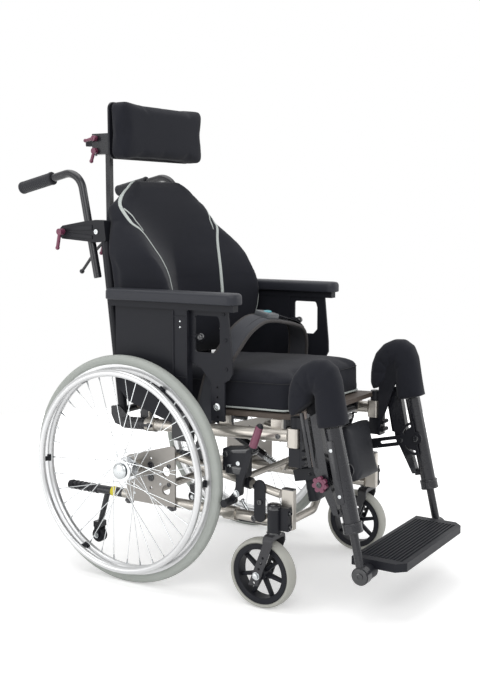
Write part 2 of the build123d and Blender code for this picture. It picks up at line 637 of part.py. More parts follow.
# ------------------------------------------------------------------ struts
def spring_frame():
    """Length of the tilt strut and the placement with Z along it, from its front eye."""
    run_y, run_z = SPRING_REAR[0] - SPRING_FRONT[0], SPRING_REAR[1] - SPRING_FRONT[1]
    length = hypot(run_y, run_z)
    angle = degrees(atan2(run_y, run_z))
    return length, Pos(0, *SPRING_FRONT) * Rot(X=-angle)


def tilt_rod():
    """Rod of the tilt strut with its front eye."""
    length, place = spring_frame()
    bar = Pos(0, 0, (length - 76) / 2) * Cylinder(SPRING_ROD_R, length - 76)
    eye = Rot(Y=90) * Cylinder(SPRING_EYE_R, 14)
    hole = Rot(Y=90) * Cylinder(SPRING_PIN_R + PIN_FIT, 20)
    return place * (bar + eye - hole)


def tilt_cylinder():
    """Cylinder of the tilt strut with its loose rear eye."""
    length, place = spring_frame()
    start = 62
    body = Pos(0, 0, (start + length - 22) / 2) * Cylinder(SPRING_BODY_R, length - 22 - start)
    body += Pos(0, 0, length - 16) * Cylinder(SPRING_ROD_R, 20)
    body -= Pos(0, 0, (start + length - 40) / 2 - 1) * Cylinder(SPRING_ROD_R + PIN_FIT, length - 38 - start)
    eye = Pos(0, 0, length) * Rot(Y=90) * Cylinder(SPRING_EYE_R + 1.5, 14)
    hole = Pos(0, 0, length) * Rot(Y=90) * Cylinder(SPRING_PIN_R + 1.5, 20)
    return place * (body + eye - hole)


def recline_cylinder():
    """Cylinder of the recline strut, clamped under the middle seat tube."""
    z = RECLINE_EYE[1]
    end = RECLINE_EYE[0] - RECLINE_EYE_R - RECLINE_TRAVEL - RECLINE_GAP
    body = rod((RECLINE_X, SEAT_MID_Y - 60, z), (RECLINE_X, end, z), 9)
    body -= rod((RECLINE_X, -60, z), (RECLINE_X, end + 1, z), SPRING_ROD_R + PIN_FIT)
    clamp = block((RECLINE_X - 8, RECLINE_X + 8), (SEAT_MID_Y - 8, SEAT_MID_Y + 8), (z, seat_z(SEAT_MID_Y)))
    tube = rod_x(SEAT_MID_Y, seat_z(SEAT_MID_Y), 0, 200, SEAT_CROSS_R)
    return body + clamp - tube


def recline_rod():
    """Rod of the recline strut with the loose eye on the back frame's lug."""
    y, z = RECLINE_EYE
    bar = rod((RECLINE_X, -20, z), (RECLINE_X, y - 8, z), SPRING_ROD_R)
    eye = rod_x(y, z, RECLINE_X - 6.4, RECLINE_X + 6.4, RECLINE_EYE_R)
    return bar + eye - rod_x(y, z, RECLINE_X - 9, RECLINE_X + 9, SPRING_PIN_R + 3)


# ------------------------------------------------------------------ back
def back_frame():
    """Canes, crossbars, clamp arms for the push handles and the socket of the headrest mast."""
    frame = None
    for sign in (-1, 1):
        side = to_side(back_side(), sign)
        frame = side if frame is None else frame + side
    for z in BACK_CROSS_Z:
        y = cane_y(z) + BACK_CROSS_OFFSET
        frame += rod_x(y, z, -CANE_X, CANE_X, BACK_CROSS_R)
        for x in (-120, 100):
            frame += shell_pad(x, z)
    frame += mast_socket()
    frame += recline_lug()
    return frame


def back_side():
    """One cane with its pivot boss, crossbar saddles and handle clamp."""
    cane = rod((CANE_X, cane_y(PIVOT_Z), PIVOT_Z), (CANE_X, cane_y(CANE_TOP_Z), CANE_TOP_Z), CANE_R)
    boss = rod_x(PIVOT_Y, PIVOT_Z, CANE_X - CANE_R, CANE_X + CANE_R, 18)
    side = cane + boss - rod_x(PIVOT_Y, PIVOT_Z, CANE_X - 20, CANE_X + 20, PIVOT_R + PIN_FIT)
    for z in BACK_CROSS_Z:
        y = cane_y(z)
        side += block((CANE_X - 9, CANE_X + 9), (y, y + BACK_CROSS_OFFSET + 6), (z - 13, z + 13))
    return side + handle_clamp()


def handle_clamp():
    """Tapering arm behind the cane top, bored for the push handle."""
    y = cane_y(CANE_TOP_Z - 25)
    front = CANE_R + 1
    arm = side_plate([(cane_y(903) - front, 903), (y + 20, 899), (270, 908), (281, 920), (280, 934),
                      (268, 944), (y + 60, 956), (y + 18, 960), (cane_y(958) - front, 958)],
                     *HANDLE_CLAMP_X, 4)
    start = handle_point(-60)
    end = handle_point(260)
    arm -= rod((HANDLE_X, *start), (HANDLE_X, *end), HANDLE_R + STEM_FIT)
    arm += rod_x(*HANDLE_STUD, HANDLE_CLAMP_X[1] - 1, HANDLE_CLAMP_X[1] + CLEAR + STUD_REACH, STUD_R)
    return arm


def shell_pad(x, z):
    """Spacer between a crossbar and the back shell."""
    y0 = cane_y(z) + SHELL_FRONT + SHELL_THICK
    pad = block((x, x + 20), (-SHELL_THICK / 2, BACK_CROSS_OFFSET - SHELL_FRONT - SHELL_THICK), (-9, 9))
    pad = Pos(0, y0, z) * Rot(X=-degrees(atan2(CANE_SLOPE, 1))) * pad
    return pad - shell_slab()


def mast_socket():
    """Arm from the upper crossbar and the square socket of the headrest mast."""
    wall = MAST_HALF + CLEAR + 5
    z = BACK_CROSS_Z[1]
    start = cane_y(z) + BACK_CROSS_OFFSET
    arm = block((-10, 10), (start, MAST_Y), (z - 14, z + 12))
    socket = block((-wall, wall), (MAST_Y - wall, MAST_Y + wall), MAST_SOCKET_Z, 3)
    hole = block((-MAST_HALF - CLEAR, MAST_HALF + CLEAR), (MAST_Y - MAST_HALF - CLEAR,
                 MAST_Y + MAST_HALF + CLEAR), (MAST_SOCKET_Z[0] - 1, MAST_SOCKET_Z[1] + 1))
    return arm + socket - hole


def recline_lug():
    """Two plates from a pivot sleeve down to the recline strut's pin."""
    sleeve = rod_x(PIVOT_Y, PIVOT_Z, RECLINE_X - 14, CANE_X - CANE_R + 1, 15, PIVOT_R + PIN_FIT)
    for x in (RECLINE_X - 11, RECLINE_X + 7):
        sleeve += bar_plate((PIVOT_Y, PIVOT_Z), RECLINE_EYE, 8, x, x + 4)
    sleeve += rod_x(*RECLINE_EYE, RECLINE_X - 12, RECLINE_X + 12, SPRING_PIN_R)
    return sleeve - rod_x(PIVOT_Y, PIVOT_Z, RECLINE_X - 20, CANE_X, PIVOT_R + PIN_FIT)


def shell_slab():
    """Back shell as a leaning plate with round corners."""
    high = SHELL_Z[1] - SHELL_Z[0]
    face = Plane.XZ * RectangleRounded(2 * SHELL_HALF, high, 40)
    slab = extrude(face, -SHELL_THICK)
    lean = Rot(X=-degrees(atan2(CANE_SLOPE, 1)))
    middle = (SHELL_Z[0] + SHELL_Z[1]) / 2
    return Pos(0, cane_y(middle) + SHELL_FRONT, middle) * lean * slab


def back_section(z, half, tip_y, wing, centre):
    """Level cut of the back cushion: flat rear, forward wings and a hollow middle."""
    rear = cane_y(z) + SHELL_FRONT - CLEAR
    step = cane_y(z) - CANE_R - 3
    core = min(half - 2, SHELL_HALF)
    tip = tip_y + wing / 2
    inner = half - wing
    right = [(core, rear), (core + 1, step + 1), (half, step), (half, tip)]
    left = [(-x, y) for x, y in reversed(right)]
    edges = [Line(left[-1], right[0])]
    edges += [Line(start, end) for start, end in zip(right, right[1:])]
    edges.append(ThreePointArc(right[-1], (half - wing / 2, tip_y), (inner, tip)))
    edges.append(ThreePointArc((inner, tip), (0, rear - centre), (-inner, tip)))
    edges.append(ThreePointArc((-inner, tip), (wing / 2 - half, tip_y), left[0]))
    edges += [Line(start, end) for start, end in zip(left, left[1:])]
    return Pos(0, 0, z) * make_face(edges)


def back_cushion():
    """Contoured back cushion: deep side wings low down, a narrow head at the top."""
    rows = [(566, 206, 10, 40, 52), (600, 214, -50, 42, 62), (650, 222, -92, 42, 68),
            (700, 226, -105, 42, 70), (760, 226, -92, 42, 70), (830, 222, -45, 42, 68),
            (900, 213, 14, 40, 64), (957, 208, 56, 40, 62), (1000, 199, 76, 42, 60), (1012, 180, 82, 44, 58),
            (1046, 140, 88, 50, 50), (1064, 114, 98, 40, 40), (1071, 100, 110, 20, 28)]
    return loft([back_section(*row) for row in rows], ruled=True)


# ------------------------------------------------------------------ headrest
def headrest_post():
    """Mast with the clamp head that holds the fore-and-aft bar."""
    mast = block((-MAST_HALF, MAST_HALF), (MAST_Y - MAST_HALF, MAST_Y + MAST_HALF), MAST_Z)
    head = block((-18, 18), (MAST_Y - 18, MAST_Y + 52), HEAD_CLAMP_Z, 4)
    hole = block((-HEAD_BAR_HALF - CLEAR, HEAD_BAR_HALF + CLEAR), (MAST_Y - 60, MAST_Y + 60),
                 (HEAD_BAR_Z - HEAD_BAR_HALF - CLEAR, HEAD_BAR_Z + HEAD_BAR_HALF + CLEAR))
    stud = rod_x(MAST_Y + 36, HEAD_CLAMP_Z[0] + 10, -18 - CLEAR - STUD_REACH, -17, STUD_R)
    return mast + head - hole + stud


def headrest_arm():
    """Square bar and the hard shell behind the head cushion."""
    bar = block((-HEAD_BAR_HALF, HEAD_BAR_HALF), (HEAD_SHELL_Y - 2, HEAD_BAR_REAR),
                (HEAD_BAR_Z - HEAD_BAR_HALF, HEAD_BAR_Z + HEAD_BAR_HALF))
    middle = (HEAD_Z[0] + HEAD_Z[1]) / 2
    face = Plane.XZ * RectangleRounded(2 * HEAD_HALF - 10, HEAD_Z[1] - HEAD_Z[0] - 10, 20)
    shell = Pos(0, HEAD_SHELL_Y - HEAD_SHELL_THICK, middle) * extrude(face, -HEAD_SHELL_THICK)
    return bar + shell


def headrest_cushion():
    """Crowned head cushion with drawn-in sides."""
    depth = HEAD_SHELL_Y - HEAD_SHELL_THICK - CLEAR - HEAD_FRONT_Y
    half = (HEAD_Z[1] - HEAD_Z[0]) / 2
    pad = pillow((-HEAD_HALF, HEAD_HALF), (-half, half), depth - 6, 6, 22, 2.5)
    middle = (HEAD_Z[0] + HEAD_Z[1]) / 2
    return Pos(0, HEAD_FRONT_Y + depth, middle) * Rot(X=90) * pad


def lever(y, z, x0, x1, down, lean):
    """Clamping lever: a round hub on its stud and a tapering arm that hangs down."""
    hub = rod_x(y, z, x0, x1, 9)
    arm = rod((x1 - 5, y, z), (x1 - 1, y + lean, z - down), 5)
    arm += Pos(x1 - 1, y + lean, z - down) * Sphere(6)
    return hub + arm - rod_x(y, z, x0 - 1, x0 + STUD_REACH + CLEAR, STUD_R + PIN_FIT)


# ------------------------------------------------------------------ push handles
def handle_point(distance):
    """(y, z) on the leaning handle tube, measured up from its foot."""
    lean = radians(HANDLE_LEAN)
    return (HANDLE_FOOT[0] + distance * sin(lean), HANDLE_FOOT[1] + distance * cos(lean))


def grip_z(y):
    """Height of the falling grip's middle line."""
    fall = (HANDLE_CORNER[1] - GRIP_END_Z) / (GRIP_Y[1] - HANDLE_CORNER[0])
    return GRIP_END_Z + fall * (GRIP_Y[1] - y)


def grip_middle():
    """(y, z) halfway along the grip."""
    y = (GRIP_Y[0] + GRIP_Y[1]) / 2
    return (y, grip_z(y))


def push_handle():
    """Bent handle tube with its end cap, and the grip on it."""
    end_y = GRIP_Y[1] - 4
    points = [(HANDLE_X, *HANDLE_FOOT), (HANDLE_X, *HANDLE_CORNER), (HANDLE_X, end_y, grip_z(end_y))]
    tube = bent_tube(points, HANDLE_BEND, HANDLE_R)
    cap = rod((HANDLE_X, *handle_point(-2)), (HANDLE_X, *handle_point(1)), HANDLE_R - 1)
    grip = rod((HANDLE_X, GRIP_Y[0], grip_z(GRIP_Y[0])), (HANDLE_X, GRIP_Y[1], GRIP_END_Z), GRIP_R)
    return tube + cap, grip - tube


# ------------------------------------------------------------------ armrests
def armrest_frame():
    """Post, rail, side panel and the front plate with its window."""
    rail = block((250, 274), (PAD_Y[0] + 14, PAD_Y[1] - 10), (ARM_RAIL_Z - ARM_RAIL_DEPTH, ARM_RAIL_Z))
    post = block(ARM_X, ARM_POST_Y, ARM_POST_Z)
    panel = side_plate([(-140, 736), (60, 736), (60, 520), (20, 480), (-131, 433), (-131, 474), (-140, 474)],
                       *PANEL_X)
    front = side_plate([(-180, 740), (-296, 740), (-309, 610), (-310, 578), (-302, 564), (-287, 556),
                        (-287, 456), (-246, 456), (-246, 556), (-232, 570), (-214, 590), (-180, 602)],
                       *PANEL_X, 2)
    window = side_plate([(-197, 722), (-268, 722), (-273, 706), (-273, 642), (-260, 628), (-197, 628)],
                        PANEL_X[0] - 1, PANEL_X[1] + 1, 7)
    for z in (542, 517, 493, 467):
        front -= rod_x(-266, z, PANEL_X[0] - 1, PANEL_X[1] + 1, 3)
    knob = rod((256, -183, 668), (256, -206, 668), 4.5) + Pos(256, -212, 666) * Sphere(9)
    return rail + post + panel + (front - window) + knob


def arm_pad():
    """Arm pad with a rolled top and a round nose."""
    pad = block(PAD_X, PAD_Y, (ARM_RAIL_Z, ARM_RAIL_Z + PAD_THICK), 24)
    top = pad.edges().group_by(Axis.Z)[-1]
    return fillet(top, 9)


def lap_belt():
    """Padded lap belt arching over the seat from both seat tubes, with its buckle."""
    foot_x = SEAT_TUBE_X - 2
    y, z = BELT_TOP
    lean = radians(BELT_LEAN)
    foot_y = y + (z - SEAT_TUBE_REF[1]) * sin(lean) - BELT_WIDTH / 2
    foot_z = seat_z(foot_y) + SEAT_TUBE_R + CLEAR
    points = [(-foot_x, foot_z - BELT_WIDTH), (6 - foot_x, 552), (-176, 622), (-136, 669), (-60, 700),
              (34, 689), (160, 663), (206, 604), (foot_x - 6, 552), (foot_x, foot_z - BELT_WIDTH)]
    path = FilletPolyline(*[(x, height - z) for x, height in points], radius=BELT_BEND)
    strap = Pos(0, BELT_WIDTH / 2, 0) * extrude(Plane.XZ * trace(path, BELT_THICK), BELT_WIDTH)
    buckle = Pos(-12, 0, -4) * Rot(Y=7) * Box(*BUCKLE_SIZE)
    belt = Pos(0, y, z) * Rot(X=BELT_LEAN) * (strap + buckle)
    return belt - block((-2 * foot_x, 2 * foot_x), (2 * y, 0), (0, foot_z))


# ------------------------------------------------------------------ legrests
LEG = Pos(0, KNEE_Y, KNEE_Z) * Rot(X=-LEG_LEAN)


def leg_hanger():
    """Swing-away hanger: pin, two brackets, web and the cheek that holds the knee pin."""
    x = SEAT_TUBE_X
    web_y = (BLOCK_Y[0] - 11, BLOCK_Y[0] - 6)
    pin = rod_z(x, SWING_Y, BLOCK_Z[0] - 5, BLOCK_Z[1] + 3, SWING_PIN_R)
    low = block((x - 14, x + 14), (web_y[1] - 1, SWING_Y + 13), (HANGER_BOTTOM_Z, BLOCK_Z[0] - 1), 3)
    high = rod_z(x, SWING_Y, BLOCK_Z[1] + 0.5, BLOCK_Z[1] + 28, 13)
    high += block((x - 10, x + 10), (web_y[1] - 1, SWING_Y), (BLOCK_Z[1] + 1, BLOCK_Z[1] + 28))
    web = block((206, x + 14), web_y, (HANGER_BOTTOM_Z, BLOCK_Z[1] + 28))
    cheek = side_plate([(web_y[0], 384), (web_y[1], 384), (web_y[1], 500), (KNEE_Y + 17, KNEE_Z + 6),
                        (KNEE_Y, KNEE_Z + 15), (KNEE_Y - 15, KNEE_Z)], 206, 212)
    cheek += rod_x(KNEE_Y, KNEE_Z, 206, 212, 16)
    knee_pin = rod_x(KNEE_Y, KNEE_Z, 206, 251, KNEE_PIN_R)
    hanger = pin + low + high + web + cheek + knee_pin
    for z in (376, 398):
        hanger += rod_x(web_y[0] - 4, z, 212, x + 16, 6)
    return hanger


def strut_corners(grow=0.0):
    """Corners of the strut behind the leg tube, along and across the leg."""
    return [(69.5 + grow, -94 + grow), (29.5 - grow, -80 + grow), (34 - grow, -250), (26 - grow, -330 - grow),
            (40 + grow, -330 - grow), (69.5 + grow, -222 - grow)]


def leg_tube():
    """Telescoping outer leg tube with knee eye, strut, calf lug and knob stud."""
    bottom, top = LEG_TUBE_T
    tube = rod((LEG_X, 0, bottom), (LEG_X, 0, top), LEG_OUTER_R)
    tube += rod((LEG_X, 0, top - 2), (LEG_X, 0, -4), LEG_UPPER_R)
    tube += rod((LEG_X, 0, bottom - COLLAR_HIGH), (LEG_X, 0, bottom + 1), COLLAR_R)
    tube += rod_x(0, 0, 213, 250, 14)
    strut = side_plate(strut_corners(), *STRUT_X, 3)
    foot = block((LEG_X - 5, LEG_X + 5), (10, 34), (-336, -318))
    lug = rod_x(0, CALF_T, CALF_BAR_X[1] + 0.5, LEG_X - LEG_OUTER_R + 2, 12)
    calf_pin = rod_x(0, CALF_T, CALF_BAR_X[0] - 3, LEG_X - LEG_OUTER_R + 2, 5)
    stud = rod_x(*knob_centre(), STRUT_X[1] - 2, STRUT_X[1] + 11, 4)
    shape = tube + strut + foot + lug + calf_pin + stud
    shape -= rod((LEG_X, 0, bottom - COLLAR_HIGH - 1), (LEG_X, 0, -170), FOOT_R + STEM_FIT)
    shape -= rod_x(0, 0, 200, 260, KNEE_PIN_R + PIN_FIT)
    return LEG * shape


def knob_centre():
    """Star knob's place along and across the leg."""
    return (54.0, -251.0)


def star_knob():
    """Star knob on the strut's stud."""
    n, t = knob_centre()
    x = STRUT_X[1] + CLEAR
    ring = KNOB_R - KNOB_LOBE_R
    knob = rod_x(n, t, x, x + 4, 10) + rod_x(n, t, x + 4, x + 15, ring)
    for index in range(KNOB_LOBES):
        angle = radians(360 / KNOB_LOBES * index)
        knob += rod_x(n + ring * cos(angle), t + ring * sin(angle), x + 4, x + 14, KNOB_LOBE_R)
    return LEG * (knob - rod_x(n, t, x - 1, x + 12, 4 + PIN_FIT))


def foot_tube():
    """Inner foot tube with the clamp disc of the footplate."""
    bottom, top = FOOT_TUBE_T
    tube = rod((LEG_X, 0, bottom), (LEG_X, 0, top), FOOT_R)
    return LEG * (tube + rod_x(0, bottom, LEG_X - FOOT_R, LEG_X + FOOT_R, DISC_R))


def knee_pad():
    """Arched knee pad over the leg tube and the top of the strut."""
    outline = [(-46, -118), (-47, -40), (-36, 22), (-8, 45), (34, 47), (76, 30), (97, -12), (105, -90),
               (66, -118)]
    pad = side_plate(outline, *KNEE_PAD_X, 9)
    pad -= block((200, 280), (29, 36), (-200, -48))
    reach = rod_x(0, 0, KNEE_PAD_X[0] - 1, KNEE_PAD_X[1] + 1, KNEE_PAD_REACH)
    behind = block((200, 280), (34, 200), (-200, 200))
    pad = pad - (behind - reach)
    pad = fillet(pad.edges().filter_by(Plane.YZ).group_by(Axis.X)[-1], 8)
    pad -= rod((LEG_X, 0, -200), (LEG_X, 0, LEG_TUBE_T[1] + CLEAR), LEG_OUTER_R + CLEAR)
    pad -= rod((LEG_X, 0, -200), (LEG_X, 0, 0), LEG_UPPER_R + CLEAR)
    pad -= rod_x(0, 0, 200, 252, 14 + CLEAR)
    pad -= side_plate(strut_corners(CLEAR), STRUT_X[0] - CLEAR, STRUT_X[1] + CLEAR)
    return LEG * pad


def calf_arm():
    """Calf pad arm: sector plate, slotted bar and the bar behind the pad."""
    n = (CALF_PAD_N[1] + CLEAR, CALF_PAD_N[1] + CLEAR + 6)
    half = CALF_BAR_HALF
    bar = side_plate([(-12, CALF_T - half), (n[1], CALF_T - half), (n[1], CALF_T + half),
                      (-12, CALF_T + half)], *CALF_BAR_X, 3)
    sector = rod_x(0, CALF_T, *CALF_BAR_X, CALF_SECTOR_R) & block(
        CALF_BAR_X, (0, CALF_SECTOR_R), (CALF_T - CALF_SECTOR_R, CALF_T + CALF_SECTOR_R))
    sector += rod_x(0, CALF_T, *CALF_BAR_X, half + 3)
    for start in (30, -75):
        arc = SlotArc(CenterArc((0, CALF_T), CALF_SECTOR_R - 10, start, 45), 6)
        sector -= Pos(CALF_BAR_X[0] - 1, 0, 0) * extrude(Plane.YZ * arc, 10)
    slot = bar_plate((62, CALF_T), (104, CALF_T), 4, CALF_BAR_X[0] - 1, CALF_BAR_X[1] + 1)
    across = block((CALF_PAD_X[0] + 20, CALF_BAR_X[1]), n, (CALF_T - half, CALF_T + half))
    hole = rod_x(0, CALF_T, CALF_BAR_X[0] - 4, CALF_BAR_X[1] + 1, 5 + PIN_FIT)
    return LEG * (bar + sector + across - slot - hole)


def calf_pad():
    """Crowned calf pad with drawn-in sides, leaning with the leg."""
    thick = CALF_PAD_N[1] - CALF_PAD_N[0]
    pad = pillow(CALF_PAD_X, CALF_PAD_T, thick - 5, 5, 14, 2)
    return LEG * Pos(0, CALF_PAD_N[1], 0) * Rot(X=90) * pad


def hinge_spot():
    """(y, z) of the footplate's hinge, at the foot tube's lower end."""
    lean = radians(LEG_LEAN)
    reach = FOOT_TUBE_T[0]
    return (KNEE_Y + reach * sin(lean), KNEE_Z + reach * cos(lean))


def footplate():
    """One-piece ribbed footplate with a hinge disc at each end."""
    y, z = hinge_spot()
    plate = block((-PLATE_HALF, PLATE_HALF), PLATE_Y, PLATE_Z)
    front = plate.edges().filter_by(Axis.Z).group_by(Axis.Y)[0]
    plate = chamfer(front, 22)
    pitch = (PLATE_Y[1] - PLATE_Y[0] - 20) / PLATE_RIBS
    for index in range(PLATE_RIBS):
        groove_y = PLATE_Y[0] + 14 + pitch * index
        plate -= block((-PLATE_HALF + 26, PLATE_HALF - 26), (groove_y, groove_y + pitch / 2),
                       (PLATE_Z[1] - 2, PLATE_Z[1] + 1))
    for sign in (-1, 1):
        reach = LEG_X - FOOT_R - 0.5
        plate += rod_x(y, z, *sorted((sign * (PLATE_HALF - 12), sign * reach)), DISC_R - 3)
    plate += rod_x(y, z, -LEG_X - FOOT_R + 4, 4 - PLATE_HALF, 6)
    return plate


# ------------------------------------------------------------------ nodes
def make_base():
    """Fixed base: side frames, cross tubes, castor mounts and brake bodies."""
    sides, mounts, brakes = [], [], []
    for _, sign in SIDES:
        sides += [to_side(base_side(), sign), to_side(axle(), sign)]
        mounts += [to_side(shape, sign) for shape in castor_mount()]
        brakes.append(to_side(brake_body(), sign))
    add_node("side_frames", *sides)
    add_node("cross_tubes", *cross_tubes())
    add_node("castor_mounts", *mounts)
    add_node("brake_bodies", *brakes)


def make_side_parts():
    """Everything that exists once on each side, apart from the legrests."""
    makers = {"rear_tyre": rear_tyre, "rear_rim": rear_rim, "rear_hub": rear_hub,
              "castor_fork": castor_fork, "castor_wheel": castor_wheel, "castor_tyre": castor_tyre,
              "brake_lever": brake_lever, "anti_tipper": anti_tipper, "tipper_wheel": tipper_wheel,
              "armrest_frame": armrest_frame, "arm_pad": arm_pad}
    for name, maker in makers.items():
        shape = maker()
        for side, sign in SIDES:
            add_node(f"{name}_{side}", to_side(shape, sign))
    tube, grip = push_handle()
    clamp_lever = lever(*HANDLE_STUD, HANDLE_CLAMP_X[1] + CLEAR, HANDLE_CLAMP_X[1] + 18, 44, 6)
    for side, sign in SIDES:
        add_node(f"push_handle_{side}", to_side(tube, sign), to_side(grip, sign))
        add_node(f"handle_lever_{side}", to_side(clamp_lever, sign))


def make_legs():
    """Both legrests and the footplate between them."""
    makers = {"leg_hanger": leg_hanger, "leg_tube": leg_tube, "knee_pad": knee_pad,
              "calf_arm": calf_arm, "calf_pad": calf_pad, "star_knob": star_knob}
    for name, maker in makers.items():
        shape = maker()
        for side, sign in SIDES:
            add_node(f"{name}_{side}", to_side(shape, sign))
    shape = foot_tube()
    bore = rod_x(*hinge_spot(), LEG_X - FOOT_R - 1, LEG_X + FOOT_R + 1, 6 + PIN_FIT)
    add_node("foot_tube_left", shape)
    add_node("foot_tube_right", to_side(shape - bore, -1))
    add_node("footplate", footplate())


def make_seat_and_back():
    """Seat, struts, back and headrest."""
    board_x = (-BOARD_HALF, BOARD_HALF)
    add_node("seat_frame", seat_frame())
    add_node("seat_board", pitched(block(board_x, BOARD_Y, BOARD_Z, 20)))
    cushion = pillow((-CUSHION_HALF, CUSHION_HALF), CUSHION_Y, CUSHION_Z[1] - CUSHION_Z[0],
                     CUSHION_CROWN, 26, 3)
    add_node("seat_cushion", pitched(Pos(0, 0, CUSHION_Z[0]) * cushion))
    add_node("lap_belt", lap_belt())
    add_node("tilt_rod", tilt_rod())
    add_node("tilt_cylinder", tilt_cylinder())
    add_node("recline_cylinder", recline_cylinder())
    add_node("recline_rod", recline_rod())
    add_node("back_frame", back_frame())
    add_node("back_shell", shell_slab())
    add_node("back_cushion", back_cushion())
    add_node("headrest_post", headrest_post())
    add_node("headrest_arm", headrest_arm())
    add_node("headrest_cushion", headrest_cushion())
    head_lever = lever(MAST_Y + 36, HEAD_CLAMP_Z[0] + 10, 18.3, 30, 30, 8)
    add_node("headrest_lever", to_side(head_lever, -1))


# The footprint runs from the footplate's front edge to the ends of the push handle grips.
GRIP_TILT = atan2(HANDLE_CORNER[1] - GRIP_END_Z, GRIP_Y[1] - HANDLE_CORNER[0])
MIDDLE_Y = (PLATE_Y[0] + GRIP_Y[1] + GRIP_R * sin(GRIP_TILT)) / 2

make_base()
make_side_parts()
make_legs()
make_seat_and_back()
os.makedirs("parts", exist_ok=True)
for node, shape in NODES.items():
    export_step(Pos(0, -MIDDLE_Y, 0) * shape, f"parts/{node}.step")
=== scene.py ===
"""Looks of a tilting wheelchair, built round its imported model.

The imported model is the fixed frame: its nodes keep their place and get finishes, and the soft pieces,
wheels and fittings are modelled here and ride on its bodies. Sizes are in millimetres from the rear axle,
with +Z up and the chair facing -Y, and at() turns them into the frame's metres.
"""
from __future__ import annotations

import json
import logging
import math
from dataclasses import dataclass
from enum import Enum
from typing import Callable, Iterable, Sequence

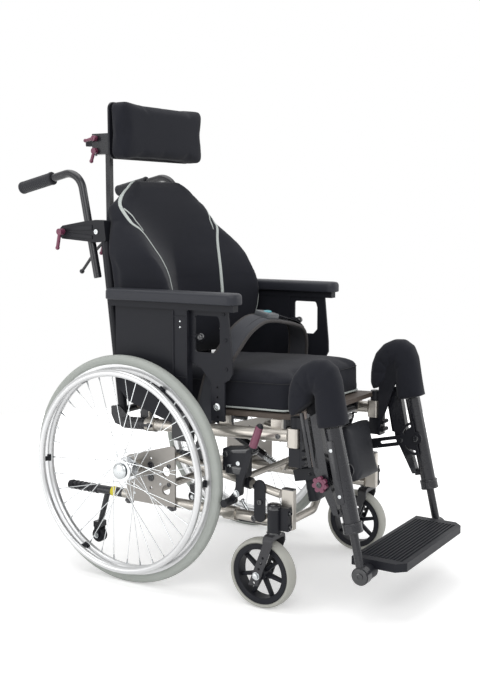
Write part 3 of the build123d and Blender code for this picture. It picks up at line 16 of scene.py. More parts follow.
import bmesh
import bpy
import numpy as np
from mathutils import Matrix, Vector
from mathutils.bvhtree import BVHTree
from mathutils.noise import noise
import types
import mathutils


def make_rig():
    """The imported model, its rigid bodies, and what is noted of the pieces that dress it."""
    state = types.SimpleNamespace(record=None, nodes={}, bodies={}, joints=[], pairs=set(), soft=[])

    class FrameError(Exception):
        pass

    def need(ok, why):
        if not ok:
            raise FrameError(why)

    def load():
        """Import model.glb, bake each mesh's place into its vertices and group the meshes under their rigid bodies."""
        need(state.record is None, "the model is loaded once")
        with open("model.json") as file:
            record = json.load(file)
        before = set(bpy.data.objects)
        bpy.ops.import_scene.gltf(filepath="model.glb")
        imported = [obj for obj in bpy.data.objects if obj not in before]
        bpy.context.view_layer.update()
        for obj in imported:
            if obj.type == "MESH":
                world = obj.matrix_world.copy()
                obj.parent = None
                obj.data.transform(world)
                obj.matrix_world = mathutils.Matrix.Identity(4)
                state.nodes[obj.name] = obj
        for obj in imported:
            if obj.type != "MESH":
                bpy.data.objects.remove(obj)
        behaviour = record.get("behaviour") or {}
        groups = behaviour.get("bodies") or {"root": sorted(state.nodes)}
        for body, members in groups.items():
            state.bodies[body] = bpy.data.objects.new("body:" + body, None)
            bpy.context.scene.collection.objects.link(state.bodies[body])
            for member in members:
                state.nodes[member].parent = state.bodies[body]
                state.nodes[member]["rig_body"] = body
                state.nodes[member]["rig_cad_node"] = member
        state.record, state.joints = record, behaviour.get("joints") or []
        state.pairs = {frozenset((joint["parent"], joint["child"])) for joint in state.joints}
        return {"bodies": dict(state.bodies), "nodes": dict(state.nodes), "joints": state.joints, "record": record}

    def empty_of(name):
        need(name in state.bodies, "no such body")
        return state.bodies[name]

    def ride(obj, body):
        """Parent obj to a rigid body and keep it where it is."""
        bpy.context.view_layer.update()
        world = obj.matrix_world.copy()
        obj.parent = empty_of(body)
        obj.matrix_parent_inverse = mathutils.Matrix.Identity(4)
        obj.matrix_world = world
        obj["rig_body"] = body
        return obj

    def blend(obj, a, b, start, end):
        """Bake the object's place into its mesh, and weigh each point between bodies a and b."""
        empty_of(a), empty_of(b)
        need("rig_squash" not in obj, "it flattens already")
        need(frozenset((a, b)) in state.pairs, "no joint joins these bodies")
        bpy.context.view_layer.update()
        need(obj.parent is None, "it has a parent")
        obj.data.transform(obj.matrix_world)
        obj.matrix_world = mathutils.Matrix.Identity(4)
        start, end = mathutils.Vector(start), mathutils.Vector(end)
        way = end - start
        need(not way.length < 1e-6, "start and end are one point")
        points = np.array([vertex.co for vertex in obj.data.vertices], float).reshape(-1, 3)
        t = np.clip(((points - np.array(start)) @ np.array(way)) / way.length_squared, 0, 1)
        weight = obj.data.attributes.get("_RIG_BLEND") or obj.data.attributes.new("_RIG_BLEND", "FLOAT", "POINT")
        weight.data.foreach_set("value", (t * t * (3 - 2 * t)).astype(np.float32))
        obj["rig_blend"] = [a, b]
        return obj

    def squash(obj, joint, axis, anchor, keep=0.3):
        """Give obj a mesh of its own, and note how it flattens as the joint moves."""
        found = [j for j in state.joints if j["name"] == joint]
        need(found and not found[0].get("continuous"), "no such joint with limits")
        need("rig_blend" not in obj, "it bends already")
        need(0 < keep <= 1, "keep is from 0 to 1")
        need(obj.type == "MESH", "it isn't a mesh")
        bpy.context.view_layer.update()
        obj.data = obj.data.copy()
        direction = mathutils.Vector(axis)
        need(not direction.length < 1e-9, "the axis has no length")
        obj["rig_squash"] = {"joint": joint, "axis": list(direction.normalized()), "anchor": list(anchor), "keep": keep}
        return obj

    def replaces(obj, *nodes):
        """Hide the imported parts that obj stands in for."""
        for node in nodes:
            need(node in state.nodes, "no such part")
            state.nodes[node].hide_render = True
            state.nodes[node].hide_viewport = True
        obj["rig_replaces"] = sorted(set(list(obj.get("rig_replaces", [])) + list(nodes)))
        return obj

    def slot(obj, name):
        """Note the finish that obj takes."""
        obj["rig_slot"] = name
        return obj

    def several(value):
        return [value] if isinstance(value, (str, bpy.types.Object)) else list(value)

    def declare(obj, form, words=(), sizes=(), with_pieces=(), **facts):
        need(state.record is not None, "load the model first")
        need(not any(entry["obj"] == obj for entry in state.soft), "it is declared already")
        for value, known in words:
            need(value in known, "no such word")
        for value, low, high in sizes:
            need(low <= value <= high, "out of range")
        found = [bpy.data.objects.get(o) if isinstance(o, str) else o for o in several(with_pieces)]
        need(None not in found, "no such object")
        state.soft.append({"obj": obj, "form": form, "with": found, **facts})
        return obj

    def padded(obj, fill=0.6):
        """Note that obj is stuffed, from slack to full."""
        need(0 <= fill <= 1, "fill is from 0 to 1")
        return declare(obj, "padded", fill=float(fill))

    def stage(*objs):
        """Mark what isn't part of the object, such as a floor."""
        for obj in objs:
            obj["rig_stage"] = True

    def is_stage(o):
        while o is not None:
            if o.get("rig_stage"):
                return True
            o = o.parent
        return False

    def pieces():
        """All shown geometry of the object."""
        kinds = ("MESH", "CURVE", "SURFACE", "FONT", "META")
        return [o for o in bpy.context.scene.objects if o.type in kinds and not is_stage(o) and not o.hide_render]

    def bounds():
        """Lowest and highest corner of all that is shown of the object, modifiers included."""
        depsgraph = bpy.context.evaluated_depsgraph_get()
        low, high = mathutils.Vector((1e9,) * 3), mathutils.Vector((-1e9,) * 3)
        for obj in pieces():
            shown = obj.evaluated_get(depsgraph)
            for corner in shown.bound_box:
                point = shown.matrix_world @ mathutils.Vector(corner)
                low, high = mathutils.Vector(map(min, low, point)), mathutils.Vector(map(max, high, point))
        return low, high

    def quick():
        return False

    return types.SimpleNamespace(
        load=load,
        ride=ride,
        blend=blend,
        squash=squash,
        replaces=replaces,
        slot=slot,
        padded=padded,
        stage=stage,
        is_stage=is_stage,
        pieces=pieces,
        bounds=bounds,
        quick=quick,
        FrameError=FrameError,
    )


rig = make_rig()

LOG = logging.getLogger("wheelchair")
Point = tuple[float, float, float]
Shape = bmesh.types.BMesh
Verts = list[bmesh.types.BMVert]
Socket = bpy.types.NodeSocket

AXLE_Y = 158.72
MM = 1000
SMOOTH = 180.0
CLOSE = 1e-6
SIDES = {"right": -1, "left": 1}


def at(x: float, y: float, z: float) -> Vector:
    """Return the frame's place of a point.

    Args:
        x: Millimetres from the middle plane.
        y: Millimetres behind the rear axle.
        z: Millimetres above the floor.

    Returns:
        The place in metres.
    """
    return Vector((x, y + AXLE_Y, z)) / MM


def side_at(sign: int) -> Callable[[float, float, float], Vector]:
    """Return a version of at() whose x is measured outwards on one side of the chair."""
    return lambda x, y, z: at(sign * x, y, z)


# ---------------------------------------------------------------- finishes
class Texture(Enum):
    """Which small pattern a finish carries."""

    GRAIN = "Grain"
    KNIT = "Knit"
    WEAVE = "Weave"
    DRAWN = "Drawn"


@dataclass(frozen=True)
class Finish:
    """One finish of the chair."""

    name: str
    slot: str
    colour: Point
    shade: Point
    roughness: float
    metallic: float = 0.0
    texture: Texture = Texture.GRAIN
    scale: float = 700.0
    relief: float = 0.25
    depth: float = 0.0003
    mottle: float = 0.35
    sheen: float = 0.0
    coat: float = 0.0
    dust: float = 0.015
    gleam: float = 0.5


@dataclass(frozen=True)
class Zone:
    """A box of a node, mirrored in x, that has a finish of its own."""

    low: Point
    high: Point
    finish: Finish


SILVER = Finish("silver paint", "frame_silver", (0.47, 0.445, 0.405), (0.36, 0.335, 0.30), 0.30, 0.75,
                scale=900, relief=0.08, mottle=0.25)
PLATE_GREY = Finish("grey plate", "frame_silver", (0.31, 0.295, 0.275), (0.25, 0.235, 0.22), 0.42, 0.6,
                    scale=900, relief=0.12)
POWDER = Finish("black powder coat", "frame_black", (0.0085, 0.0090, 0.0120), (0.0135, 0.0145, 0.019), 0.42,
                scale=1100, relief=0.22, gleam=0.22)
SATIN_TUBE = Finish("satin black tube", "frame_black", (0.0115, 0.012, 0.0155), (0.018, 0.019, 0.024), 0.27,
                    scale=900, relief=0.08, coat=0.25, gleam=0.35)
ZINC = Finish("zinc hardware", "bare_metal", (0.60, 0.62, 0.63), (0.42, 0.44, 0.45), 0.26, 1.0,
              texture=Texture.DRAWN, scale=500, relief=0.08, dust=0.03)
BRIGHT = Finish("bright metal", "bare_metal", (0.72, 0.73, 0.74), (0.60, 0.61, 0.62), 0.14, 1.0,
                texture=Texture.DRAWN, scale=400, relief=0.04, dust=0.02)
SPOKE_STEEL = Finish("spoke steel", "bare_metal", (0.72, 0.74, 0.75), (0.62, 0.64, 0.65), 0.22, 0.85,
                     texture=Texture.DRAWN, scale=500, relief=0.03, dust=0.02)
RIM_ALLOY = Finish("rim alloy", "rim_metal", (0.64, 0.645, 0.65), (0.56, 0.565, 0.57), 0.30, 0.75,
                   texture=Texture.DRAWN, scale=350, relief=0.05, dust=0.04)
TYRE = Finish("grey tyre", "rear_tyre", (0.40, 0.425, 0.40), (0.33, 0.35, 0.325), 0.62,
              scale=420, relief=0.30, mottle=0.5, dust=0.10)
CASTOR_GREY = Finish("castor tyre", "castor_tyre", (0.42, 0.42, 0.385), (0.34, 0.34, 0.305), 0.58,
                     scale=420, relief=0.25, mottle=0.5, dust=0.12)
PLASTIC = Finish("black plastic", "black_plastic", (0.0090, 0.0096, 0.0132), (0.014, 0.015, 0.020), 0.48,
                 scale=1500, relief=0.3, depth=0.00015, gleam=0.18)
GLOSS_PLASTIC = Finish("gloss plastic", "black_plastic", (0.012, 0.013, 0.016), (0.02, 0.021, 0.025), 0.16,
                       scale=600, relief=0.04, coat=0.5)
PAD_FOAM = Finish("pad skin", "black_plastic", (0.017, 0.0185, 0.0250), (0.024, 0.026, 0.034), 0.46,
                  scale=1300, relief=0.35, depth=0.00025, gleam=0.3)
COVER = Finish("cover knit", "black_fabric", (0.0125, 0.0133, 0.0180), (0.0205, 0.0217, 0.0285), 0.88,
               texture=Texture.KNIT, scale=950, relief=0.55, depth=0.0004, sheen=0.08, dust=0.008, gleam=0.12)
SIDE_CLOTH = Finish("side cloth", "black_fabric", (0.014, 0.0155, 0.022), (0.024, 0.026, 0.036), 0.9,
                    texture=Texture.WEAVE, scale=620, relief=0.7, depth=0.0005, sheen=0.1, dust=0.01,
                    gleam=0.12)
BELT_FACE = Finish("belt face", "black_fabric", (0.048, 0.050, 0.058), (0.066, 0.069, 0.079), 0.88,
                   texture=Texture.KNIT, scale=800, relief=0.6, depth=0.0004, sheen=0.1, gleam=0.15)
BINDING = Finish("bound edge", "black_fabric", (0.050, 0.046, 0.046), (0.075, 0.070, 0.070), 0.85,
                 texture=Texture.WEAVE, scale=800, relief=0.6, depth=0.0003, sheen=0.08, gleam=0.2)
WEBBING = Finish("webbing", "black_fabric", (0.016, 0.017, 0.020), (0.030, 0.031, 0.036), 0.8,
                 texture=Texture.WEAVE, scale=700, relief=0.8, depth=0.0005, gleam=0.2)
# Light piping colour; the back cushion's painted wing-tip highlight uses it too.
PIPING_AND_PAINTED_HIGHLIGHT = Finish("light piping", "black_fabric", (0.52, 0.56, 0.54), (0.42, 0.46, 0.44), 0.66,
                texture=Texture.WEAVE, scale=900, relief=0.5, depth=0.0003, dust=0.05)
SEAM = Finish("dark seam", "black_fabric", (0.008, 0.0085, 0.011), (0.014, 0.015, 0.018), 0.9,
              texture=Texture.WEAVE, scale=1000, relief=0.5)
CALF_SKIN = Finish("calf pad skin", "black_fabric", (0.0105, 0.0115, 0.0155), (0.0175, 0.019, 0.0245), 0.52,
                   scale=900, relief=0.45, depth=0.0003, gleam=0.25)
MAROON = Finish("maroon plastic", "red_lever", (0.175, 0.038, 0.082), (0.135, 0.027, 0.060), 0.40,
                scale=1200, relief=0.15, coat=0.2)
GRIP_RUBBER = Finish("grip rubber", "grip", (0.020, 0.021, 0.025), (0.032, 0.033, 0.038), 0.66,
                     scale=900, relief=0.4, gleam=0.25)
BOARD_EDGE = Finish("seat board", "board", (0.105, 0.080, 0.062), (0.060, 0.045, 0.036), 0.6,
                    texture=Texture.DRAWN, scale=160, relief=0.4, mottle=0.9)
STRIP = Finish("brown strip", "black_plastic", (0.165, 0.135, 0.120), (0.115, 0.092, 0.082), 0.5,
               texture=Texture.DRAWN, scale=240, relief=0.4, mottle=0.7)
YELLOW = Finish("yellow band", "black_plastic", (0.85, 0.74, 0.03), (0.65, 0.56, 0.03), 0.5)
BUCKLE_GREY = Finish("buckle grey", "black_plastic", (0.085, 0.092, 0.10), (0.065, 0.07, 0.078), 0.45,
                     scale=1400, relief=0.25)
TEAL = Finish("teal button", "black_plastic", (0.02, 0.30, 0.36), (0.02, 0.22, 0.27), 0.35)


class NodeKit:
    """Short ways to place and join shader nodes in one tree."""

    def __init__(self, tree: bpy.types.NodeTree) -> None:
        """Work in one node tree."""
        self.tree = tree

    def add(self, kind: str, **values: object) -> bpy.types.Node:
        """Place a node.

        Args:
            kind: The node's type name, without the ShaderNode in front.
            **values: Properties of the node to set.

        Returns:
            The new node.
        """
        node = self.tree.nodes.new("ShaderNode" + kind)
        for name, value in values.items():
            setattr(node, name, value)
        return node

    def feed(self, source: object, target: Socket) -> None:
        """Join an output to an input, or set the input to a plain value."""
        if isinstance(source, Socket):
            self.tree.links.new(source, target)
        else:
            target.default_value = source

    def math(self, kind: str, *sources: object) -> Socket:
        """Return the result of a Math node fed with sources."""
        node = self.add("Math", operation=kind)
        for source, target in zip(sources, node.inputs):
            self.feed(source, target)
        return node.outputs[0]

    def mix(self, factor: object, first: object, second: object) -> Socket:
        """Return a colour mixed from two."""
        node = self.add("Mix", data_type="RGBA")
        self.feed(factor, node.inputs[0])
        self.feed(first, node.inputs[6])
        self.feed(second, node.inputs[7])
        return node.outputs[2]

    def mix_value(self, factor: object, first: object, second: object) -> Socket:
        """Return a number mixed from two."""
        node = self.add("Mix", data_type="FLOAT")
        self.feed(factor, node.inputs[0])
        self.feed(first, node.inputs[2])
        self.feed(second, node.inputs[3])
        return node.outputs[0]

    def noise(self, vector: object, scale: object, detail: float = 2.0) -> Socket:
        """Return the factor of a Noise texture."""
        node = self.add("TexNoise")
        self.feed(vector, node.inputs["Vector"])
        self.feed(scale, node.inputs["Scale"])
        node.inputs["Detail"].default_value = detail
        return node.outputs["Fac"]


class Groups:
    """Shader node groups that the finishes share."""

    def __init__(self) -> None:
        """Build every group once."""
        self.patterns = {
            Texture.GRAIN: self.pattern("Grain", self.grain),
            Texture.KNIT: self.pattern("Knit", self.knit),
            Texture.WEAVE: self.pattern("Weave", self.weave),
            Texture.DRAWN: self.pattern("Drawn", self.drawn),
        }
        self.dust = self.make("Dust", {"Amount": 0.1}, ["Mask"], self.settle)
        box = {"Centre": (0.0, 0.0, 0.0), "Half": (1.0, 1.0, 1.0)}
        self.box = self.make("Zone", box, ["Mask"], self.inside)

    def make(self, name: str, inputs: dict[str, object], outputs: Sequence[str],
             fill: Callable[[NodeKit, object, object], None]) -> bpy.types.NodeTree:
        """Build a group.

        Args:
            name: The group's name.
            inputs: Input names with their default values.
            outputs: Names of the number outputs.

        Returns:
            The node group.
        """
        tree = bpy.data.node_groups.new(name, "ShaderNodeTree")
        for title, value in inputs.items():
            kind = "NodeSocketVector" if isinstance(value, tuple) else "NodeSocketFloat"
            socket = tree.interface.new_socket(title, in_out="INPUT", socket_type=kind)
            socket.default_value = value
        for title in outputs:
            tree.interface.new_socket(title, in_out="OUTPUT", socket_type="NodeSocketFloat")
        kit = NodeKit(tree)
        start = tree.nodes.new("NodeGroupInput")
        end = tree.nodes.new("NodeGroupOutput")
        fill(kit, start, end)
        return tree

    def pattern(self, name: str, fill: Callable[[NodeKit, object, object], None]) -> bpy.types.NodeTree:
        """Return a group that turns a scale into a height and a slow mottling."""
        return self.make(name, {"Scale": 700.0}, ["Height", "Mottle"], fill)

    @staticmethod
    def close(kit: NodeKit, end: object, vector: object, height: object) -> None:
        """Join a pattern's height and the slow mottling that all patterns share."""
        kit.feed(height, end.inputs["Height"])
        slow = kit.noise(vector, 28.0, 4.0)
        quick = kit.noise(vector, 170.0, 2.0)
        kit.feed(kit.mix_value(0.4, slow, quick), end.inputs["Mottle"])

    def grain(self, kit: NodeKit, start: object, end: object) -> None:
        """Irregular moulded or painted skin."""
        place = kit.add("TexCoord").outputs["Object"]
        coarse = kit.noise(place, start.outputs["Scale"], 3.0)
        self.close(kit, end, place, coarse)

    def knit(self, kit: NodeKit, start: object, end: object) -> None:
        """Small rounded cells of a stretch knit."""
        place = kit.add("TexCoord").outputs["Object"]
        cells = kit.add("TexVoronoi", feature="SMOOTH_F1")
        kit.feed(place, cells.inputs["Vector"])
        kit.feed(start.outputs["Scale"], cells.inputs["Scale"])
        self.close(kit, end, place, kit.math("SUBTRACT", 1.0, cells.outputs["Distance"]))

    def weave(self, kit: NodeKit, start: object, end: object) -> None:
        """Two crossing sets of threads that read on faces of any direction."""
        place = kit.add("TexCoord").outputs["Object"]
        bands = []
        for direction in ("X", "Y", "Z"):
            wave = kit.add("TexWave", bands_direction=direction)
            kit.feed(place, wave.inputs["Vector"])
            kit.feed(start.outputs["Scale"], wave.inputs["Scale"])
            wave.inputs["Distortion"].default_value = 0.6
            bands.append(wave.outputs["Fac"])
        crossings = [kit.math("MULTIPLY", bands[first], bands[second])
                     for first, second in ((0, 1), (1, 2), (0, 2))]
        both = kit.math("MAXIMUM", crossings[0], crossings[1])
        self.close(kit, end, place, kit.math("MAXIMUM", both, crossings[2]))

    def drawn(self, kit: NodeKit, start: object, end: object) -> None:
        """Fine lines along one direction, as on drawn metal and wood edges."""
        place = kit.add("TexCoord").outputs["Object"]
        stretch = kit.add("Mapping")
        stretch.inputs["Scale"].default_value = (1.0, 0.06, 1.0)
        kit.feed(place, stretch.inputs["Vector"])
        self.close(kit, end, place, kit.noise(stretch.outputs[0], start.outputs["Scale"], 2.0))

    def settle(self, kit: NodeKit, start: object, end: object) -> None:
        """Thin dust on faces that look up."""
        normal = kit.add("SeparateXYZ")
        kit.feed(kit.add("NewGeometry").outputs["Normal"], normal.inputs[0])
        up = kit.math("MAXIMUM", normal.outputs["Z"], 0.12)
        spots = kit.noise(kit.add("TexCoord").outputs["Object"], 60.0, 5.0)
        patchy = kit.math("MULTIPLY", kit.math("MULTIPLY", up, spots), start.outputs["Amount"])
        kit.feed(kit.math("MINIMUM", kit.math("MULTIPLY", patchy, 2.0), 1.0), end.inputs["Mask"])

    def inside(self, kit: NodeKit, start: object, end: object) -> None:
        """One inside a box mirrored in x, and nothing outside."""
        place = kit.add("SeparateXYZ")
        centre = kit.add("SeparateXYZ")
        half = kit.add("SeparateXYZ")
        kit.feed(kit.add("TexCoord").outputs["Object"], place.inputs[0])
        kit.feed(start.outputs["Centre"], centre.inputs[0])
        kit.feed(start.outputs["Half"], half.inputs[0])
        across = kit.math("ABSOLUTE", place.outputs["X"])
        found = [kit.math("COMPARE", value, centre.outputs[axis], half.outputs[axis])
                 for axis, value in (("X", across), ("Y", place.outputs["Y"]), ("Z", place.outputs["Z"]))]
        kit.feed(kit.math("MULTIPLY", kit.math("MULTIPLY", found[0], found[1]), found[2]), end.inputs["Mask"])


class Palette:
    """Makes each finish's material once."""

    DUST = (0.42, 0.41, 0.39, 1.0)

    def __init__(self) -> None:
        """Start with the shared groups and no materials."""
        self.groups = Groups()
        self.made: dict[str, bpy.types.Material] = {}

    def material(self, finish: Finish, zones: Sequence[Zone] = ()) -> bpy.types.Material:
        """Return the material of a finish.

        Args:
            finish: The finish of most of the piece.
            zones: Boxes that have another finish.

        Returns:
            The material, made at its first use.
        """
        title = "-".join([finish.name] + [f"{zone.finish.name}{zone.low}" for zone in zones])
        if title not in self.made:
            self.made[title] = self.build(finish, zones)
        return self.made[title]

    def build(self, finish: Finish, zones: Sequence[Zone]) -> bpy.types.Material:
        """Build the node tree of one material."""
        material = bpy.data.materials.new(finish.name)
        material.use_nodes = True
        tree = material.node_tree
        shader = tree.nodes["Principled BSDF"]
        kit = NodeKit(tree)
        pattern = kit.add("Group", node_tree=self.groups.patterns[finish.texture])
        pattern.inputs["Scale"].default_value = finish.scale
        mottle = kit.math("MULTIPLY", pattern.outputs["Mottle"], finish.mottle * 2)
        colour = kit.mix(mottle, (*finish.colour, 1.0), (*finish.shade, 1.0))
        uneven = kit.math("MULTIPLY", pattern.outputs["Mottle"], 0.16)
        rough = kit.math("ADD", uneven, finish.roughness - 0.08)
        metal: object = finish.metallic
        for zone in zones:
            mask = self.zone_mask(kit, zone)
            other = zone.finish
            second = kit.mix(mottle, (*other.colour, 1.0), (*other.shade, 1.0))
            colour = kit.mix(mask, colour, second)
            rough = kit.mix_value(mask, rough, other.roughness)
            metal = kit.mix_value(mask, metal, other.metallic)
        dust = kit.add("Group", node_tree=self.groups.dust)
        dust.inputs["Amount"].default_value = finish.dust
        kit.feed(kit.mix(dust.outputs["Mask"], colour, self.DUST), shader.inputs["Base Color"])
        kit.feed(rough, shader.inputs["Roughness"])
        kit.feed(metal, shader.inputs["Metallic"])
        bump = kit.add("Bump")
        bump.inputs["Strength"].default_value = finish.relief
        bump.inputs["Distance"].default_value = finish.depth
        kit.feed(pattern.outputs["Height"], bump.inputs["Height"])
        kit.feed(bump.outputs["Normal"], shader.inputs["Normal"])
        shader.inputs["Coat Weight"].default_value = finish.coat
        shader.inputs["Sheen Weight"].default_value = finish.sheen
        shader.inputs["Specular IOR Level"].default_value = finish.gleam
        return material

    def zone_mask(self, kit: NodeKit, zone: Zone) -> Socket:
        """Return the mask of one box."""
        low, high = at(*zone.low), at(*zone.high)
        node = kit.add("Group", node_tree=self.groups.box)
        node.inputs["Centre"].default_value = (low + high) / 2
        node.inputs["Half"].default_value = (high - low) / 2
        return node.outputs["Mask"]


# ---------------------------------------------------------------- mesh helpers
def verts_in(items: Iterable[object]) -> Verts:
    """Return the vertices among some parts of a mesh."""
    return [item for item in items if isinstance(item, bmesh.types.BMVert)]


def along(start: Vector, end: Vector) -> Matrix:
    """Return the placement halfway between two points with its Z along them."""
    turn = (end - start).to_track_quat("Z", "Y").to_matrix().to_4x4()
    return Matrix.Translation((start + end) / 2) @ turn


def add_rod(bm: Shape, start: Vector, end: Vector, radius: float, tip: float | None = None,
            segments: int = 28, bevel: float = 0.0) -> Verts:
    """Add a round bar or cone between two points.

    Args:
        bm: The mesh to add to.
        start: One end, in metres.
        end: The other end.
        radius: Radius at the start, in millimetres.
        tip: Radius at the end, if it differs.
        segments: Faces round the bar.
        bevel: Rounding of both ends, in millimetres.

    Returns:
        The new vertices.
    """
    made = bmesh.ops.create_cone(bm, cap_ends=True, segments=segments, radius1=radius / MM,
                                 radius2=(radius if tip is None else tip) / MM, depth=(end - start).length,
                                 matrix=along(start, end))["verts"]
    if bevel:
        made = round_edges(bm, made, bevel, lambda edge: any(len(face.verts) > 4 for face in edge.link_faces))
    return made


def round_edges(bm: Shape, verts: Iterable[bmesh.types.BMVert], size: float,
                keep: Callable[[bmesh.types.BMEdge], bool] | None = None,
                segments: int = 3) -> Verts:
    """Bevel the edges between some vertices.

    Args:
        bm: The mesh.
        verts: Vertices of the part to round.
        size: Rounding in millimetres.
        keep: Chooses which edges are rounded, or all of them if it is left out.
        segments: Faces across the rounding.

    Returns:
        The part's vertices afterwards.
    """
    chosen = set(verts)
    edges = [edge for edge in bm.edges if set(edge.verts) <= chosen and (keep is None or keep(edge))]
    before = set(bm.verts) - chosen
    bmesh.ops.bevel(bm, geom=edges, offset=size / MM, affect="EDGES", segments=segments, profile=0.5,
                    material=-1, clamp_overlap=True)
    return [vert for vert in bm.verts if vert not in before]


def add_block(bm: Shape, low: Vector, high: Vector, bevel: float = 0.0,
              turn: Matrix | None = None, segments: int = 3) -> Verts:
    """Add a box between two corners, rounded and turned about its middle if asked."""
    size = Vector(abs(b - a) for a, b in zip(low, high))
    place = Matrix.Translation((low + high) / 2) @ (turn or Matrix.Identity(4))
    place = place @ Matrix.Diagonal((*size, 1.0))
    made = bmesh.ops.create_cube(bm, size=1.0, matrix=place)["verts"]
    return round_edges(bm, made, bevel, segments=segments) if bevel else made


def add_ball(bm: Shape, centre: Vector, radius: float) -> Verts:
    """Add a ball of a radius in millimetres."""
    return bmesh.ops.create_uvsphere(bm, u_segments=24, v_segments=14, radius=radius / MM,
                                     matrix=Matrix.Translation(centre))["verts"]


def add_turned(bm: Shape, profile: Sequence[tuple[float, float]], place: Matrix,
               steps: int = 48, closed: bool = False) -> Verts:
    """Spin a section round the Z axis of a placement.

    Args:
        bm: The mesh to add to.
        profile: (radius, height) corners in millimetres.
        place: Where the turned part goes.
        steps: Steps of the full turn.
        closed: Whether the section is a ring of its own, as a tyre's is.

    Returns:
        The new vertices.
    """
    before = set(bm.verts)
    verts = [bm.verts.new((radius / MM, 0, height / MM)) for radius, height in profile]
    pairs = list(zip(verts, verts[1:])) + ([(verts[-1], verts[0])] if closed else [])
    edges = [bm.edges.new(pair) for pair in pairs]
    bmesh.ops.spin(bm, geom=verts + edges, axis=(0, 0, 1), cent=(0, 0, 0), angle=2 * math.pi, steps=steps,
                   use_merge=True, use_duplicate=False)
    made = [vert for vert in bm.verts if vert not in before]
    bmesh.ops.remove_doubles(bm, verts=made, dist=CLOSE)
    made = [vert for vert in bm.verts if vert not in before]
    bmesh.ops.transform(bm, matrix=place, verts=made)
    return made


def add_plate(bm: Shape, outline: Sequence[Vector], thick: Vector, bevel: float = 0.0,
              corner: float = 0.0) -> Verts:
    """Add a flat plate.

    Args:
        bm: The mesh to add to.
        outline: Corners of one face, in metres.
        thick: The way and distance through the plate, in metres.
        bevel: Rounding of the face edges, in millimetres.
        corner: Rounding of the outline's corners, in millimetres.

    Returns:
        The new vertices.
    """
    before = set(bm.verts)
    face = bm.faces.new([bm.verts.new(point) for point in outline])
    if corner:
        bmesh.ops.bevel(bm, geom=list(face.verts), offset=corner / MM, affect="VERTICES", segments=5,
                        profile=0.5, material=-1)
        face = next(found for found in bm.faces if not set(found.verts) & before)
    grown = bmesh.ops.extrude_face_region(bm, geom=[face], use_keep_orig=True)["geom"]
    bmesh.ops.translate(bm, vec=thick, verts=verts_in(grown))
    made = [vert for vert in bm.verts if vert not in before]
    if bevel:
        rims = lambda edge: any(len(item.verts) > 4 for item in edge.link_faces) or len(outline) == 4
        made = round_edges(bm, made, bevel, rims, segments=2)
    return made


def run_points(points: Sequence[Vector], closed: bool = False, smooth: bool = True) -> list[Vector]:
    """Return close points on a smooth line that the given points steer."""
    mesh = curve_mesh(points, 0.0, closed, smooth, 4)
    found = [vert.co.copy() for vert in mesh.vertices]
    bpy.data.meshes.remove(mesh)
    return found


def curve_mesh(points: Sequence[Vector], radius: float, closed: bool, smooth: bool,
               sides: int) -> bpy.types.Mesh:
    """Return the mesh of a curve, with a round section of a radius in millimetres."""
    data = bpy.data.curves.new("run", "CURVE")
    data.dimensions = "3D"
    data.bevel_depth = radius / MM
    data.bevel_resolution = sides
    data.resolution_u = 8
    data.use_fill_caps = True
    spline = data.splines.new("NURBS" if smooth else "POLY")
    spline.points.add(len(points) - 1)
    for target, point in zip(spline.points, points):
        target.co = (*point, 1.0)
    spline.order_u = 3
    spline.use_cyclic_u = closed
    spline.use_endpoint_u = not closed
    holder = bpy.data.objects.new("run", data)
    mesh = bpy.data.meshes.new_from_object(holder)
    bpy.data.objects.remove(holder)
    bpy.data.curves.remove(data)
    return mesh


def add_run(bm: Shape, points: Sequence[Vector], radius: float, closed: bool = False,
            smooth: bool = True, sides: int = 4) -> Verts:
    """Add a round bar along a line of points."""
    mesh = curve_mesh(points, radius, closed, smooth, sides)
    before = set(bm.verts)
    bm.from_mesh(mesh)
    bpy.data.meshes.remove(mesh)
    made = [vert for vert in bm.verts if vert not in before]
    bmesh.ops.remove_doubles(bm, verts=made, dist=CLOSE)
    return [vert for vert in bm.verts if vert not in before]


def add_loops(bm: Shape, loops: Sequence[Sequence[Vector]], ends: bool = True) -> Verts:
    """Join a row of closed loops into one skin.

    Args:
        bm: The mesh to add to.
        loops: Closed loops of equal length, in order.
        ends: Whether the first and last loop are closed.

    Returns:
        The new vertices.
    """
    before = set(bm.verts)
    rings = []
    for loop in loops:
        verts = [bm.verts.new(point) for point in loop]
        rings.append([bm.edges.new(pair) for pair in zip(verts, verts[1:] + verts[:1])])
    for first, second in zip(rings, rings[1:]):
        bmesh.ops.bridge_loops(bm, edges=first + second)
    if ends:
        bmesh.ops.contextual_create(bm, geom=rings[0])
        bmesh.ops.contextual_create(bm, geom=rings[-1])
    return [vert for vert in bm.verts if vert not in before]


def add_bolt(bm: Shape, seat: Vector, outward: Vector, radius: float, high: float,
             six_sided: bool = False) -> None:
    """Add a bolt head with a socket, or a six-sided one on a washer.

    Args:
        bm: The mesh to add to.
        seat: Middle of the face that the head sits on.
        outward: The way that the head points.
        radius: Radius of the head in millimetres.
        high: Height of the head in millimetres.
        six_sided: Whether it is a six-sided head.
    """
    place = Matrix.Translation(seat) @ outward.to_track_quat("Z", "Y").to_matrix().to_4x4()
    if six_sided:
        washer = [(0, 0), (radius * 1.25, 0), (radius * 1.25, high * 0.2), (0, high * 0.2)]
        add_turned(bm, washer, place, 28)
        middle = place @ Matrix.Translation((0, 0, high * 0.6 / MM))
        head = bmesh.ops.create_cone(bm, cap_ends=True, segments=6, radius1=radius / MM,
                                     radius2=radius / MM, depth=high * 0.8 / MM, matrix=middle)
        round_edges(bm, head["verts"], radius * 0.08, segments=2)
        return
    head = [(0, high * 0.55), (radius * 0.42, high * 0.55), (radius * 0.48, high), (radius * 0.82, high),
            (radius, high * 0.8), (radius, 0), (0, 0)]
    add_turned(bm, head, place, 28)


